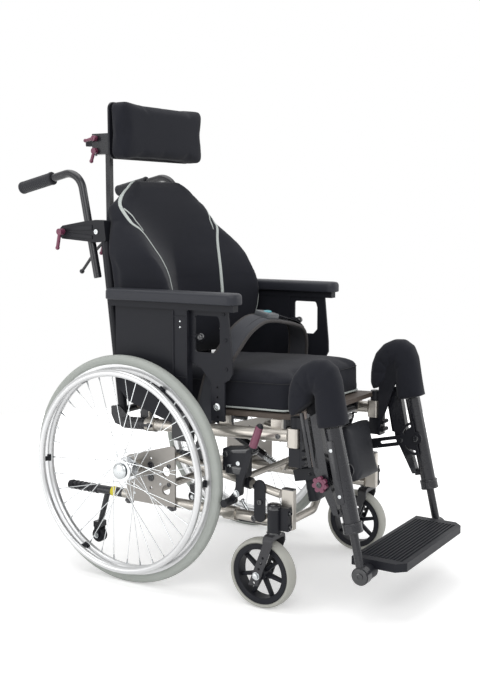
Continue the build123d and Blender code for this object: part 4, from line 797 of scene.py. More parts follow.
def inflate(piece: bpy.types.Object, voxel: float, pressure: float, cap: float) -> None:
    """Puff a closed piece up with a cloth simulation and keep the result.

    Args:
        piece: The piece to change.
        voxel: Size of the cloth's faces in millimetres.
        pressure: Pressure inside.
        cap: How far a point may move, in millimetres.
    """
    scene = bpy.context.scene
    remesh = piece.modifiers.new("even faces", "REMESH")
    remesh.mode = "VOXEL"
    remesh.voxel_size = voxel / MM
    bake(piece)
    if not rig.quick():
        start = points_of(piece)
        cloth = piece.modifiers.new("cloth", "CLOTH")
        cloth.settings.quality = 5
        cloth.settings.mass = 0.2
        cloth.settings.use_pressure = True
        cloth.settings.uniform_pressure_force = pressure
        cloth.settings.effector_weights.gravity = 0
        cloth.point_cache.frame_start = 1
        cloth.point_cache.frame_end = 20
        for frame in range(1, 21):
            scene.frame_set(frame)
        bake(piece)
        scene.frame_set(1)
        moved = points_of(piece) - start
        reach = np.linalg.norm(moved, axis=1, keepdims=True)
        limit = cap / MM
        moved *= limit * np.tanh(reach / limit) / np.maximum(reach, 1e-9)
        piece.data.vertices.foreach_set("co", (start + moved).astype(np.float32).ravel())
    smooth = piece.modifiers.new("smooth", "SMOOTH")
    smooth.iterations = 4
    smooth.factor = 0.5
    bake(piece)


def bake(piece: bpy.types.Object) -> None:
    """Apply a piece's modifiers to its mesh."""
    graph = bpy.context.evaluated_depsgraph_get()
    mesh = bpy.data.meshes.new_from_object(piece.evaluated_get(graph))
    old = piece.data
    piece.modifiers.clear()
    piece.data = mesh
    bpy.data.meshes.remove(old)


def points_of(piece: bpy.types.Object) -> np.ndarray:
    """Return a piece's points as an array."""
    flat = np.zeros(len(piece.data.vertices) * 3, np.float32)
    piece.data.vertices.foreach_get("co", flat)
    return flat.reshape(-1, 3).astype(float)


def set_points(piece: bpy.types.Object, points: np.ndarray) -> None:
    """Put a piece's points where an array says."""
    piece.data.vertices.foreach_set("co", points.astype(np.float32).ravel())
    piece.data.update()


def crease(piece: bpy.types.Object, line: Sequence[Vector], width: float, depth: float) -> None:
    """Press a groove into a piece along a line.

    Args:
        piece: The piece to change.
        line: Close points along the groove.
        width: Half width of the groove in millimetres.
        depth: Depth of the groove in millimetres.
    """
    points = points_of(piece)
    normals = np.array([vert.normal for vert in piece.data.vertices])
    path = np.array([tuple(point) for point in line])
    nearest = np.full(len(points), 1e9)
    for start in range(0, len(path), 16):
        gap = np.linalg.norm(points[:, None, :] - path[None, start:start + 16, :], axis=2).min(axis=1)
        nearest = np.minimum(nearest, gap)
    share = np.exp(-(nearest / (width / MM)) ** 2)
    set_points(piece, points - normals * (share * depth / MM)[:, None])


def wrinkle(piece: bpy.types.Object, size: float, depth: float, where: Callable[[Vector], float]) -> None:
    """Press soft wrinkles into a piece.

    Args:
        piece: The piece to change.
        size: Length of a wrinkle in millimetres.
        depth: Depth in millimetres.
        where: Says how strong the wrinkles are at a point, from 0 to 1.
    """
    for vert in piece.data.vertices:
        share = where(vert.co)
        if share > 0:
            swell = 0.5 + 0.5 * noise(vert.co * (MM / size))
            vert.co -= vert.normal * (share * depth / MM * swell)
    piece.data.update()


class Workshop:
    """Turns finished meshes into pieces that ride on the chair's bodies."""

    def __init__(self, frame: dict[str, object], palette: Palette) -> None:
        """Keep the frame and the palette."""
        self.frame = frame
        self.palette = palette
        self.pieces: list[bpy.types.Object] = []

    def piece(self, bm: Shape, name: str, finish: Finish, body: str | None = None,
              replaces: Sequence[str] = (), sharp: float = 38.0, turn_out: bool = True) -> bpy.types.Object:
        """Make a piece of the chair from a mesh.

        Args:
            bm: The mesh, which is used up.
            name: The piece's name.
            finish: Its finish.
            body: The body it rides on, or None when it is blended or simulated first.
            replaces: Nodes that it stands for.
            sharp: Edges sharper than this many degrees stay crisp.
            turn_out: Whether the faces are turned outwards.

        Returns:
            The piece.
        """
        bmesh.ops.dissolve_degenerate(bm, dist=1e-7, edges=bm.edges)
        if turn_out:
            bmesh.ops.recalc_face_normals(bm, faces=bm.faces)
        mesh = bpy.data.meshes.new(name)
        bm.to_mesh(mesh)
        bm.free()
        piece = bpy.data.objects.new(name, mesh)
        bpy.context.scene.collection.objects.link(piece)
        self.dress(piece, finish, sharp)
        if body:
            self.settle(piece, body, replaces)
        LOG.info("%s: %d faces on %s", name, len(mesh.polygons), body or "several bodies")
        return piece

    def dress(self, piece: bpy.types.Object, finish: Finish, sharp: float = 38.0) -> None:
        """Give a piece its material, smooth faces and crisp edges."""
        piece.data.materials.clear()
        piece.data.materials.append(self.palette.material(finish))
        piece.data.shade_smooth()
        if sharp < SMOOTH:
            piece.data.set_sharp_from_angle(angle=math.radians(sharp))
        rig.slot(piece, finish.slot)

    def settle(self, piece: bpy.types.Object, body: str, replaces: Sequence[str] = ()) -> None:
        """Put a finished piece on its body, in place of the nodes it stands for."""
        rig.ride(piece, body)
        if replaces:
            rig.replaces(piece, *replaces)
        self.pieces.append(piece)

    def node(self, name: str, finish: Finish, zones: Sequence[Zone] = ()) -> None:
        """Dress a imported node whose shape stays."""
        node = self.frame["nodes"][name]
        node.data.materials.clear()
        node.data.materials.append(self.palette.material(finish, zones))
        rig.slot(node, finish.slot)


# ---------------------------------------------------------------- wheels
@dataclass
class RearWheel:
    """One large wheel: tyre, rim, handrim on its clips, hub and crossed spokes."""

    side: str
    sign: int
    axle: Point = (300.0, 0.0, 305.0)
    tyre: float = 305.0
    handrim: float = 262.0
    handrim_out: float = 40.0
    spokes: int = 36
    clips: int = 6

    def place(self) -> Matrix:
        """Return the wheel's placement, with Z outwards along its axle."""
        turn = Matrix.Rotation(self.sign * math.pi / 2, 4, "Y")
        return Matrix.Translation(side_at(self.sign)(*self.axle)) @ turn

    def build(self, shop: Workshop) -> None:
        """Make every piece of the wheel."""
        body = f"rear_wheel_{self.side}"
        self.make_tyre(shop, body)
        self.make_rim(shop, body)
        self.make_handrim(shop, body)
        self.make_hub(shop, body)
        self.make_spokes(shop, body)

    def make_tyre(self, shop: Workshop, body: str) -> None:
        """Make the tyre with two fine grooves beside its tread and a bead on each wall."""
        half = [(279.0, 9.4), (281.5, 12.0), (285.0, 13.6), (288.0, 14.6), (289.2, 14.2), (292.0, 14.9),
                (297.0, 13.6), (301.0, 10.8), (302.6, 9.0), (302.2, 8.2), (303.0, 7.4), (304.4, 4.6),
                (304.1, 3.9), (304.7, 3.2)]
        section = half + [(self.tyre, 0.0)] + [(radius, -out) for radius, out in reversed(half)]
        bm = bmesh.new()
        add_turned(bm, section, self.place(), 160, closed=True)
        shop.piece(bm, f"tyre_{self.side}", TYRE, body, [f"rear_tyre_{self.side}"], sharp=50)

    def make_rim(self, shop: Workshop, body: str) -> None:
        """Make the hollow-sided rim."""
        half = [(281.0, 9.6), (281.6, 10.8), (281.0, 12.0), (275.0, 12.2), (268.0, 11.8), (262.5, 9.4),
                (259.0, 5.6), (257.8, 2.0)]
        section = [(276.0, 8.8)] + half + [(radius, -out) for radius, out in reversed(half)] + [(276.0, -8.8)]
        bm = bmesh.new()
        add_turned(bm, section, self.place(), 160, closed=True)
        shop.piece(bm, f"rim_{self.side}", RIM_ALLOY, body, [f"rear_rim_{self.side}"], sharp=50)

    def make_handrim(self, shop: Workshop, body: str) -> None:
        """Make the push rim and the dark clips that hold it."""
        angles = [step * math.pi / 8 for step in range(16)]
        ring = [(self.handrim + 9.5 * math.cos(angle), self.handrim_out + 9.5 * math.sin(angle))
                for angle in angles]
        bm = bmesh.new()
        add_turned(bm, ring, self.place(), 160, closed=True)
        shop.piece(bm, f"handrim_{self.side}", RIM_ALLOY, body, sharp=SMOOTH)
        bm = bmesh.new()
        for low, high, bevel in (((256, -6, 8), (266, 6, 38), 2.0), ((257, -9, 7), (268, 9, 14), 1.5)):
            add_block(bm, Vector(low) / MM, Vector(high) / MM, bevel)
        first = bm.verts[:] + bm.edges[:] + bm.faces[:]
        for index in range(self.clips):
            turn = Matrix.Rotation(math.radians(60 * (index + 0.5)), 4, "Z")
            copy = bmesh.ops.duplicate(bm, geom=first)["geom"]
            bmesh.ops.transform(bm, matrix=self.place() @ turn, verts=verts_in(copy))
        bmesh.ops.delete(bm, geom=verts_in(first), context="VERTS")
        shop.piece(bm, f"handrim_clips_{self.side}", PLASTIC, body)

    def make_hub(self, shop: Workshop, body: str) -> None:
        """Make the flanged hub and its bright domed cap."""
        hub = [(6.6, -24), (11, -24), (13, -22), (13, -14), (15, -13), (31, -12), (31.8, -10), (31, -8),
               (16, -7), (13, -4), (12.5, 8), (15, 16), (31, 18), (31.8, 20), (31, 22), (17, 23), (15, 25.6),
               (6.6, 25.6)]
        cap = [(0, 32.4), (8, 32.2), (15, 31.2), (19.5, 29.6), (21, 28), (21, 25.8), (19, 25.4), (0, 25.4)]
        bm = bmesh.new()
        add_turned(bm, hub, self.place(), 56, closed=True)
        shop.piece(bm, f"hub_{self.side}", BRIGHT, body, [f"rear_hub_{self.side}"], sharp=34)
        bm = bmesh.new()
        add_turned(bm, cap, self.place(), 56)
        shop.piece(bm, f"hub_cap_{self.side}", ZINC, body, sharp=34)

    def make_spokes(self, shop: Workshop, body: str) -> None:
        """Make the crossed spokes with their nipples at the rim."""
        spokes, nipples = bmesh.new(), bmesh.new()
        for index in range(self.spokes):
            flange = (-10.0, 20.0)[index % 2]
            turn = (-1, 1)[index // 2 % 2]
            rim_angle = math.radians(360 / self.spokes * index)
            hub_angle = rim_angle + turn * math.radians(60)
            start = Vector((29 * math.cos(hub_angle), 29 * math.sin(hub_angle), flange + turn * 1.4)) / MM
            end = Vector((258.6 * math.cos(rim_angle), 258.6 * math.sin(rim_angle), 0)) / MM
            start, end = self.place() @ start, self.place() @ end
            add_rod(spokes, start, end, 1.05, segments=7)
            add_rod(nipples, end.lerp(start, 0.055), end, 1.6, 2.3, segments=8)
        shop.piece(spokes, f"spokes_{self.side}", SPOKE_STEEL, body)
        shop.piece(nipples, f"spoke_nipples_{self.side}", ZINC, body)


@dataclass
class Castor:
    """One small front wheel with seven spokes, and the fittings of its fork and housing."""

    side: str
    sign: int
    axle: Point = (264.0, -404.0, 89.0)
    stem_y: float = -435.0
    spokes: int = 7

    def place(self) -> Matrix:
        """Return the wheel's placement, with Z outwards along its axle."""
        turn = Matrix.Rotation(self.sign * math.pi / 2, 4, "Y")
        return Matrix.Translation(side_at(self.sign)(*self.axle)) @ turn

    def build(self, shop: Workshop) -> None:
        """Make every piece of the castor."""
        wheel = f"castor_wheel_{self.side}"
        half = [(77.0, 15.5), (79.0, 18.2), (81.5, 19.8), (84.0, 19.2), (86.6, 15.0), (88.3, 8.5)]
        bm = bmesh.new()
        section = half + [(89.0, 0.0)] + [(radius, -out) for radius, out in reversed(half)]
        add_turned(bm, section, self.place(), 96, closed=True)
        shop.piece(bm, f"small_tyre_{self.side}", CASTOR_GREY, wheel, [f"castor_tyre_{self.side}"], sharp=60)
        self.make_spider(shop, wheel)
        self.make_fittings(shop)

    def make_spider(self, shop: Workshop, wheel: str) -> None:
        """Make the moulded wheel: rim ring, tapering spokes and hub."""
        bm = bmesh.new()
        ring = [(77, 16.4), (75.5, 17.6), (64, 17.6), (62, 16), (61.5, 5), (61.5, -5), (62, -16), (64, -17.6),
                (75.5, -17.6), (77, -16.4)]
        add_turned(bm, ring, self.place(), 84, closed=True)
        hub = [(5.2, 29), (8, 29), (8.4, 18), (13, 17.5), (15.5, 15), (15.5, -15), (13, -17.5), (8.4, -18),
               (8, -29), (5.2, -29)]
        add_turned(bm, hub, self.place(), 40, closed=True)
        outline = [Vector(point) for point in ((13, -5.5, -6), (63, -3.8, -6), (63, 3.8, -6), (13, 5.5, -6))]
        for index in range(self.spokes):
            turn = Matrix.Rotation(2 * math.pi / self.spokes * index, 4, "Z")
            corners = [self.place() @ turn @ (point / MM) for point in outline]
            add_plate(bm, corners, (self.place() @ turn).to_3x3() @ Vector((0, 0, 0.012)), 1.5)
        shop.piece(bm, f"castor_spider_{self.side}", PLASTIC, wheel, [f"castor_wheel_{self.side}"])

    def make_fittings(self, shop: Workshop) -> None:
        """Make the axle bolts, the housing's cap and the bracket's screws."""
        spot = side_at(self.sign)
        x, y, z = self.axle
        bm = bmesh.new()
        for way in (-1, 1):
            out = Vector((self.sign * way, 0, 0))
            add_bolt(bm, spot(x + way * 34, y, z), out, 8.0, 6.5, six_sided=True)
        shop.piece(bm, f"castor_bolts_{self.side}", ZINC, f"castor_{self.side}", sharp=25)
        place = Matrix.Translation(spot(x, self.stem_y, 0))
        bm = bmesh.new()
        cap = [(0, 270.5), (12, 269.5), (16.4, 266), (17.6, 262), (17.6, 256), (17.1, 255.5), (0, 255.5)]
        ring = [(8.2, 193.9), (19, 193.9), (19, 197), (17.1, 199), (8.2, 199)]
        add_turned(bm, cap, place, 40)
        add_turned(bm, ring, place, 40, closed=True)
        shop.piece(bm, f"castor_cap_{self.side}", GLOSS_PLASTIC, "base")
        bm = bmesh.new()
        for height in (214, 248):
            add_bolt(bm, spot(255, -474, height), Vector((0, -1, 0)), 6.0, 5.0)
        shop.piece(bm, f"castor_bracket_screws_{self.side}", GLOSS_PLASTIC, "base", sharp=30)


# ---------------------------------------------------------------- base
@dataclass
class BaseDress:
    """Finishes of the welded base, with its plugs, caps, bolts and the small fittings on it."""

    lug: Zone = Zone((219.5, -212, 330), (232.5, -168, 397), POWDER)

    def build(self, shop: Workshop) -> None:
        """Dress the base's nodes and add its fittings."""
        shop.node("side_frames", SILVER, [self.lug, Zone((244.9, -130, 200), (251.2, 40, 380), PLATE_GREY)])
        shop.node("cross_tubes", SILVER)
        shop.node("castor_mounts", POWDER)
        shop.node("brake_bodies", POWDER)
        for side, sign in SIDES.items():
            self.make_plugs(shop, side, sign)
        self.make_clamps(shop)

    def make_plugs(self, shop: Workshop, side: str, sign: int) -> None:
        """Make the plugs and screws of one side."""
        spot = side_at(sign)
        out = Vector((sign, 0, 0))
        bm = bmesh.new()
        for y, z, radius in ((-46, 312, 10), (-46, 278, 10), (-105, 316, 6), (-105, 266, 6)):
            add_bolt(bm, spot(251, y, z), out, radius, 2.6)
        for y, z in ((-366, 216), (-60, 216)):
            add_bolt(bm, spot(244.5, y, z), out, 8.5, 4.2)
        add_bolt(bm, spot(244.5, -369, 299), out, 6.5, 4.0)
        add_bolt(bm, spot(250, -385, 262), out, 7.0, 4.0)
        for y in (-112, 30):
            add_rod(bm, spot(248, y, 197), spot(248, y, 207), 9.5, 8.5, bevel=1.5)
            add_rod(bm, spot(248, y - 12, 203), spot(248, y + 12, 203), 5.5, bevel=1.0)
        add_block(bm, spot(228.5, -477, 301), spot(245.5, -445, 305.5), 1.4)
        shop.piece(bm, f"base_plugs_{side}", GLOSS_PLASTIC, "base", sharp=30)
        bm = bmesh.new()
        for y, z in ((-78, 317), (-77, 264), (10, 228)):
            add_bolt(bm, spot(250.6, y, z), out, 3.6, 1.2)
        shop.piece(bm, f"plate_rivets_{side}", ZINC, "base", sharp=30)

    def make_clamps(self, shop: Workshop) -> None:
        """Make the dark clamps on the bowed tube and their zinc screws."""
        dark, screws = bmesh.new(), bmesh.new()
        for sign in SIDES.values():
            spot = side_at(sign)
            add_rod(dark, spot(232, -318, 214), spot(150, -345, 186), 15.5, bevel=2.0)
            add_rod(screws, spot(196, -322, 210), spot(196, -300, 238), 4.5, segments=16)
            add_bolt(screws, spot(196, -300, 238), Vector((0, 0.6, 0.8)), 7.5, 6.0, six_sided=True)
        shop.piece(dark, "bow_clamps", PLASTIC, "base")
        shop.piece(screws, "bow_clamp_screws", ZINC, "base", sharp=28)


@dataclass
class Brake:
    """One wheel brake: its lever with a coloured grip, and the moulded details of its body."""

    side: str
    sign: int

    def build(self, shop: Workshop) -> None:
        """Dress the lever and add the body's cap and screws."""
        spot = side_at(self.sign)
        shop.node(f"brake_lever_{self.side}", POWDER)
        bm = bmesh.new()
        add_rod(bm, spot(282, -384, 408), spot(282, -402, 456), 10.6, 9.6, bevel=2.5)
        add_ball(bm, spot(282, -402.5, 457.5), 9.7)
        shop.piece(bm, f"brake_grip_{self.side}", MAROON, f"brake_{self.side}", sharp=50)
        out = Vector((self.sign, 0, 0))
        slope = Matrix.Rotation(math.radians(-9), 4, "X")
        bm = bmesh.new()
        add_block(bm, spot(249, -381, 384), spot(277, -292, 396), 3.0, slope)
        add_block(bm, spot(252, -352, 330), spot(279, -300, 352), 4.0)
        for y in (-372, -300):
            z = 390 - 0.15 * (y + 372)
            add_rod(bm, spot(247, y, z), spot(279, y, z), 8.0, bevel=1.5)
        shop.piece(bm, f"brake_top_{self.side}", GLOSS_PLASTIC, "base")
        bm = bmesh.new()
        add_bolt(bm, spot(276, -338, 360), out, 6.0, 3.0)
        add_bolt(bm, spot(276, -312, 350), out, 5.0, 3.0)
        add_bolt(bm, spot(285, -338, 285), out, 7.0, 5.0, six_sided=True)
        shop.piece(bm, f"brake_screws_{self.side}", ZINC, "base", sharp=28)


@dataclass
class AntiTipper:
    """One anti-tipper: its tread bar with a bright band, and its small wheel."""

    side: str
    sign: int

    def build(self, shop: Workshop) -> None:
        """Dress the bar and wheel and add the band and caps."""
        spot = side_at(self.sign)
        body = f"anti_tipper_{self.side}"
        shop.node(body, SATIN_TUBE)
        shop.node(f"tipper_wheel_{self.side}", PLASTIC)
        bm = bmesh.new()
        add_rod(bm, spot(233, 84.5, 216), spot(233, 100, 216), 13.6, bevel=0.6)
        shop.piece(bm, f"tipper_band_{self.side}", YELLOW, body)
        bm = bmesh.new()
        for y in range(150, 255, 15):
            add_rod(bm, spot(233, y, 214.6), spot(233, y + 7, 214.4), 13.2, bevel=1.2)
        add_rod(bm, spot(233, 248, 213.6), spot(233, 257, 213.4), 13.4, 11.5, bevel=2.0)
        shop.piece(bm, f"tipper_tread_{self.side}", GRIP_RUBBER, body)
        bm = bmesh.new()
        for way in (-1, 1):
            out = Vector((self.sign * way, 0, 0))
            add_bolt(bm, spot(233 + way * 15, 150, 84), out, 6.0, 4.0, six_sided=True)
        shop.piece(bm, f"tipper_bolts_{self.side}", ZINC, body, sharp=28)


@dataclass
class Struts:
    """The tilt strut with its spring, and the recline strut."""

    front: Point = (0.0, -305.0, 284.0)
    rear: Point = (0.0, -85.0, 396.0)

    def build(self, shop: Workshop) -> None:
        """Dress both struts and wind the spring."""
        shop.node("tilt_rod", BRIGHT)
        shop.node("tilt_cylinder", SATIN_TUBE)
        shop.node("recline_rod", BRIGHT)
        shop.node("recline_cylinder", SATIN_TUBE)
        start, end = at(*self.front), at(*self.rear)
        run = (end - start).normalized()
        across = run.cross(Vector((1, 0, 0))).normalized()
        points = []
        for step in range(96):
            angle = step / 12 * 2 * math.pi
            centre = start + run * (0.012 + 0.0005 * step)
            points.append(centre + (Vector((1, 0, 0)) * math.cos(angle) + across * math.sin(angle)) * 0.0082)
        bm = bmesh.new()
        add_run(bm, points, 1.4, sides=2)
        spring = shop.piece(bm, "tilt_spring", ZINC, "tilt_rod", sharp=SMOOTH)
        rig.squash(spring, "seat_tilt", tuple(run), tuple(start + run * 0.010), keep=0.3)


# ---------------------------------------------------------------- seat
@dataclass
class SeatDress:
    """Finishes of the seat frame and board, with the plugs, straps and screws on them."""

    zones: tuple[Zone, ...] = (
        Zone((0, -600, 300), (300, 200, 404), POWDER), Zone((0, -18, 300), (300, 200, 520), POWDER),
        Zone((246.5, -300, 300), (300, 0, 600), POWDER), Zone((190, -450, 446), (212, 200, 480), POWDER),
        Zone((0, -456, 300), (209, 200, 600), POWDER))

    def build(self, shop: Workshop) -> None:
        """Dress the frame and board and add the fittings of both sides."""
        shop.node("seat_frame", SILVER, self.zones)
        shop.node("seat_board", BOARD_EDGE)
        for side, sign in SIDES.items():
            spot = side_at(sign)
            out = Vector((sign, 0, 0))
            bm = bmesh.new()
            add_bolt(bm, spot(243.4, -433, 433), out, 6.5, 4.0)
            add_bolt(bm, spot(246.4, -37, 417), out, 7.5, 4.0)
            add_rod(bm, spot(228, -474, 455), spot(228, -474, 461), 12.5, bevel=1.5)
            add_rod(bm, spot(228, 58, 413), spot(228, 63, 413), 16.2, 15, bevel=1.2)
            shop.piece(bm, f"seat_plugs_{side}", GLOSS_PLASTIC, "seat", sharp=30)
            bm = bmesh.new()
            for step in range(6):
                y = -12 + 11 * step
                start = spot(228, y, 416 - 0.042 * (y + 12))
                add_rod(bm, start, spot(228, y + 6, 416 - 0.042 * (y + 18)), 16.7, bevel=0.8)
            shop.piece(bm, f"seat_tube_rings_{side}", SATIN_TUBE, "seat")


@dataclass
class SeatCushion:
    """The seat cushion: a crowned block with light piping round its lower edge and a seam round its top."""

    half: float = 207.0
    front: float = -447.0
    rear: float = 33.0
    bottom: float = 476.0
    top: float = 559.0
    corner: float = 26.0
    crown: float = 14.0
    seam: float = 547.0
    pitch: float = 2.0

    def build(self, shop: Workshop) -> None:
        """Make the cushion and its piping."""
        bm = bmesh.new()
        low, high = at(-self.half, self.front, self.bottom), at(self.half, self.rear, self.top)
        made = add_block(bm, low, high)
        upright = lambda edge: abs(edge.verts[0].co.z - edge.verts[1].co.z) > 0.03
        made = round_edges(bm, made, self.corner, upright, 6)
        flat = lambda edge: abs(edge.verts[0].co.z - edge.verts[1].co.z) < 0.001 and edge.verts[0].co.z > 0.5
        round_edges(bm, made, 14, flat, 4)
        cushion = shop.piece(bm, "seat_cushion_cover", COVER, sharp=SMOOTH)
        inflate(cushion, 6.0, 3.5, 11.0)
        points = points_of(cushion)
        across = np.clip(1 - (points[:, 0] * MM / self.half) ** 2, 0, 1)
        middle = at(0, (self.front + self.rear) / 2, 0).y
        along_seat = np.clip(1 - ((points[:, 1] - middle) * 2 * MM / (self.rear - self.front)) ** 2, 0, 1)
        upper = np.clip((points[:, 2] - 0.49) / 0.05, 0, 1)
        points[:, 2] += self.crown / MM * np.sqrt(across * along_seat) * upper
        points[:, 2] = np.maximum(points[:, 2], 0.4746)
        set_points(cushion, points)
        crease(cushion, self.ring(self.seam, 1.5), 3.5, 2.2)
        wrinkle(cushion, 60, 1.6, lambda co: 1.0 if co.z > 0.5 else 0.2)
        self.trim(shop, cushion, "seat_piping", PIPING_AND_PAINTED_HIGHLIGHT, 480.5, 2.6)
        self.trim(shop, cushion, "seat_seam", SEAM, self.seam, 1.0)
        cushion.data.transform(self.pitched())
        shop.dress(cushion, COVER, SMOOTH)
        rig.padded(cushion, 0.7)
        shop.settle(cushion, "seat", ["seat_cushion"])

    def pitched(self) -> Matrix:
        """Return the turn that raises the front of a level cushion to the seat board's pitch."""
        pivot = at(0, -206, 462)
        turn = Matrix.Rotation(-math.radians(self.pitch), 4, "X")
        return Matrix.Translation(pivot) @ turn @ Matrix.Translation(-pivot)

    def ring(self, z: float, out: float) -> list[Vector]:
        """Return close points round the cushion's sides at a height."""
        corners = []
        inner = 30.0
        for x_way, y_edge, first in ((-1, self.front, True), (1, self.front, False), (1, self.rear, True),
                                     (-1, self.rear, False)):
            x, y = x_way * (self.half + out), y_edge + (out if y_edge > 0 else -out)
            near_x = (x - x_way * inner, y)
            near_y = (x, y + (inner if y_edge < 0 else -inner))
            corners += [near_y, (x, y), near_x] if first else [near_x, (x, y), near_y]
        dense = []
        for start, end in zip(corners, corners[1:] + corners[:1]):
            steps = max(int(math.hypot(end[0] - start[0], end[1] - start[1]) / 60), 1)
            dense += [[a + (b - a) * step / steps for a, b in zip(start, end)] for step in range(steps)]
        return run_points([at(x, y, z) for x, y in dense], closed=True)

    def trim(self, shop: Workshop, cushion: bpy.types.Object, name: str, finish: Finish, z: float,
             radius: float) -> None:
        """Lay a cord of trim on the cushion's side at a height."""
        tree = BVHTree.FromObject(cushion, bpy.context.evaluated_depsgraph_get())
        line = []
        for point in self.ring(z, 14.0)[::3]:
            spot, normal, _, _ = tree.find_nearest(point)
            level = Vector((normal.x, normal.y, 0)).normalized()
            line.append(Vector((spot.x, spot.y, z / MM)) + level * 0.0006)
        bm = bmesh.new()
        add_run(bm, line, radius, closed=True, sides=3)
        bm.transform(self.pitched())
        shop.piece(bm, name, finish, "seat", sharp=SMOOTH)


@dataclass
class LapBelt:
    """The padded lap belt: a wide band over the seat with a bound edge, a dark seam and a buckle."""

    front: float = -288.0
    rear: float = -232.0
    lean: float = 13.0
    arch: tuple[tuple[float, float], ...] = (
        (-226, 432), (-224, 480), (-220, 552), (-203, 592), (-176, 622), (-136, 669), (-100, 688), (-60, 700),
        (-10, 696), (34, 689), (100, 678), (160, 663), (190, 634), (206, 604), (220, 552), (224, 480),
        (226, 432))

    def leaning(self) -> Matrix:
        """Return the turn that takes the belt's feet back."""
        pivot = at(0, (self.front + self.rear) / 2, 700)
        turn = Matrix.Rotation(math.radians(self.lean), 4, "X")
        return Matrix.Translation(pivot) @ turn @ Matrix.Translation(-pivot)

    def build(self, shop: Workshop) -> None:
        """Make the band, its trim and the buckle."""
        middle = (self.front + self.rear) / 2
        spine = run_points([at(x, middle, z) for x, z in self.arch])
        loops = []
        for index, point in enumerate(spine):
            ahead = spine[min(index + 1, len(spine) - 1)] - spine[max(index - 1, 0)]
            normal = Vector((-ahead.z, 0, ahead.x)).normalized()
            loops.append([point + Vector((0, 1, 0)) * across + normal * thick
                          for across, thick in self.section()])
        bm = bmesh.new()
        add_loops(bm, loops)
        bm.transform(self.leaning())
        belt = shop.piece(bm, "belt_band", BELT_FACE, "seat", ["lap_belt"], sharp=SMOOTH)
        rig.padded(belt, 0.5)
        bound, seam = bmesh.new(), bmesh.new()
        for edge in (self.front, self.rear):
            add_run(bound, [Vector((p.x, at(0, edge, 0).y, p.z)) for p in spine[::3]], 4.6, sides=3)
        line = [Vector((p.x, at(0, middle - 8, 0).y, p.z)) + Vector((0, 0, 0.0052)) for p in spine[14:-14:3]]
        add_run(seam, line, 0.9, sides=2)
        bound.transform(self.leaning())
        seam.transform(self.leaning())
        shop.piece(bound, "belt_binding", BINDING, "seat", sharp=SMOOTH)
        shop.piece(seam, "belt_seam", SEAM, "seat", sharp=SMOOTH)
        self.make_buckle(shop)

    def section(self) -> list[tuple[float, float]]:
        """Return the band's section as offsets across and through it, in metres."""
        half = (self.rear - self.front) / 2
        points = []
        for step in range(24):
            angle = step / 24 * 2 * math.pi
            across = math.copysign(abs(math.cos(angle)) ** 0.55, math.cos(angle))
            through = math.copysign(abs(math.sin(angle)) ** 0.9, math.sin(angle))
            points.append((across * half / MM, through * 5.2 / MM))
        return points

    def make_buckle(self, shop: Workshop) -> None:
        """Make the buckle box, its oval button and the webbing through it."""
        tilt = Matrix.Rotation(math.radians(7), 4, "Y")
        bm = bmesh.new()
        add_block(bm, at(-43, -282, 697), at(19, -238, 714), 4.0, tilt, 4)
        add_block(bm, at(18, -274, 694), at(34, -246, 705), 3.0, tilt, 3)
        bm.transform(self.leaning())
        shop.piece(bm, "belt_buckle", BUCKLE_GREY, "seat")
        bm = bmesh.new()
        button = add_rod(bm, at(-12, -260, 713), at(-12, -260, 716.5), 11, bevel=1.4)
        bmesh.ops.scale(bm, vec=(1.5, 0.8, 1), verts=button, space=Matrix.Translation(-at(-12, -260, 714)))
        bm.transform(self.leaning())
        shop.piece(bm, "belt_button", TEAL, "seat")
        bm = bmesh.new()
        line = ((30, 702), (56, 696), (100, 687), (150, 674), (176, 658))
        section = ((-0.02, 0.001), (0.02, 0.001), (0.02, 0.0028), (-0.02, 0.0028))
        web = run_points([at(x, -262, z) for x, z in line])
        add_loops(bm, [[point + Vector((0, y, z)) for y, z in section] for point in web])
        bm.transform(self.leaning())
        shop.piece(bm, "belt_webbing", WEBBING, "seat", sharp=60)


# ---------------------------------------------------------------- back
def cane_y(z: float) -> float:
    """Return where the leaning canes' middle is at a height, in millimetres."""
    return 112 + 0.114 * (z - 770)


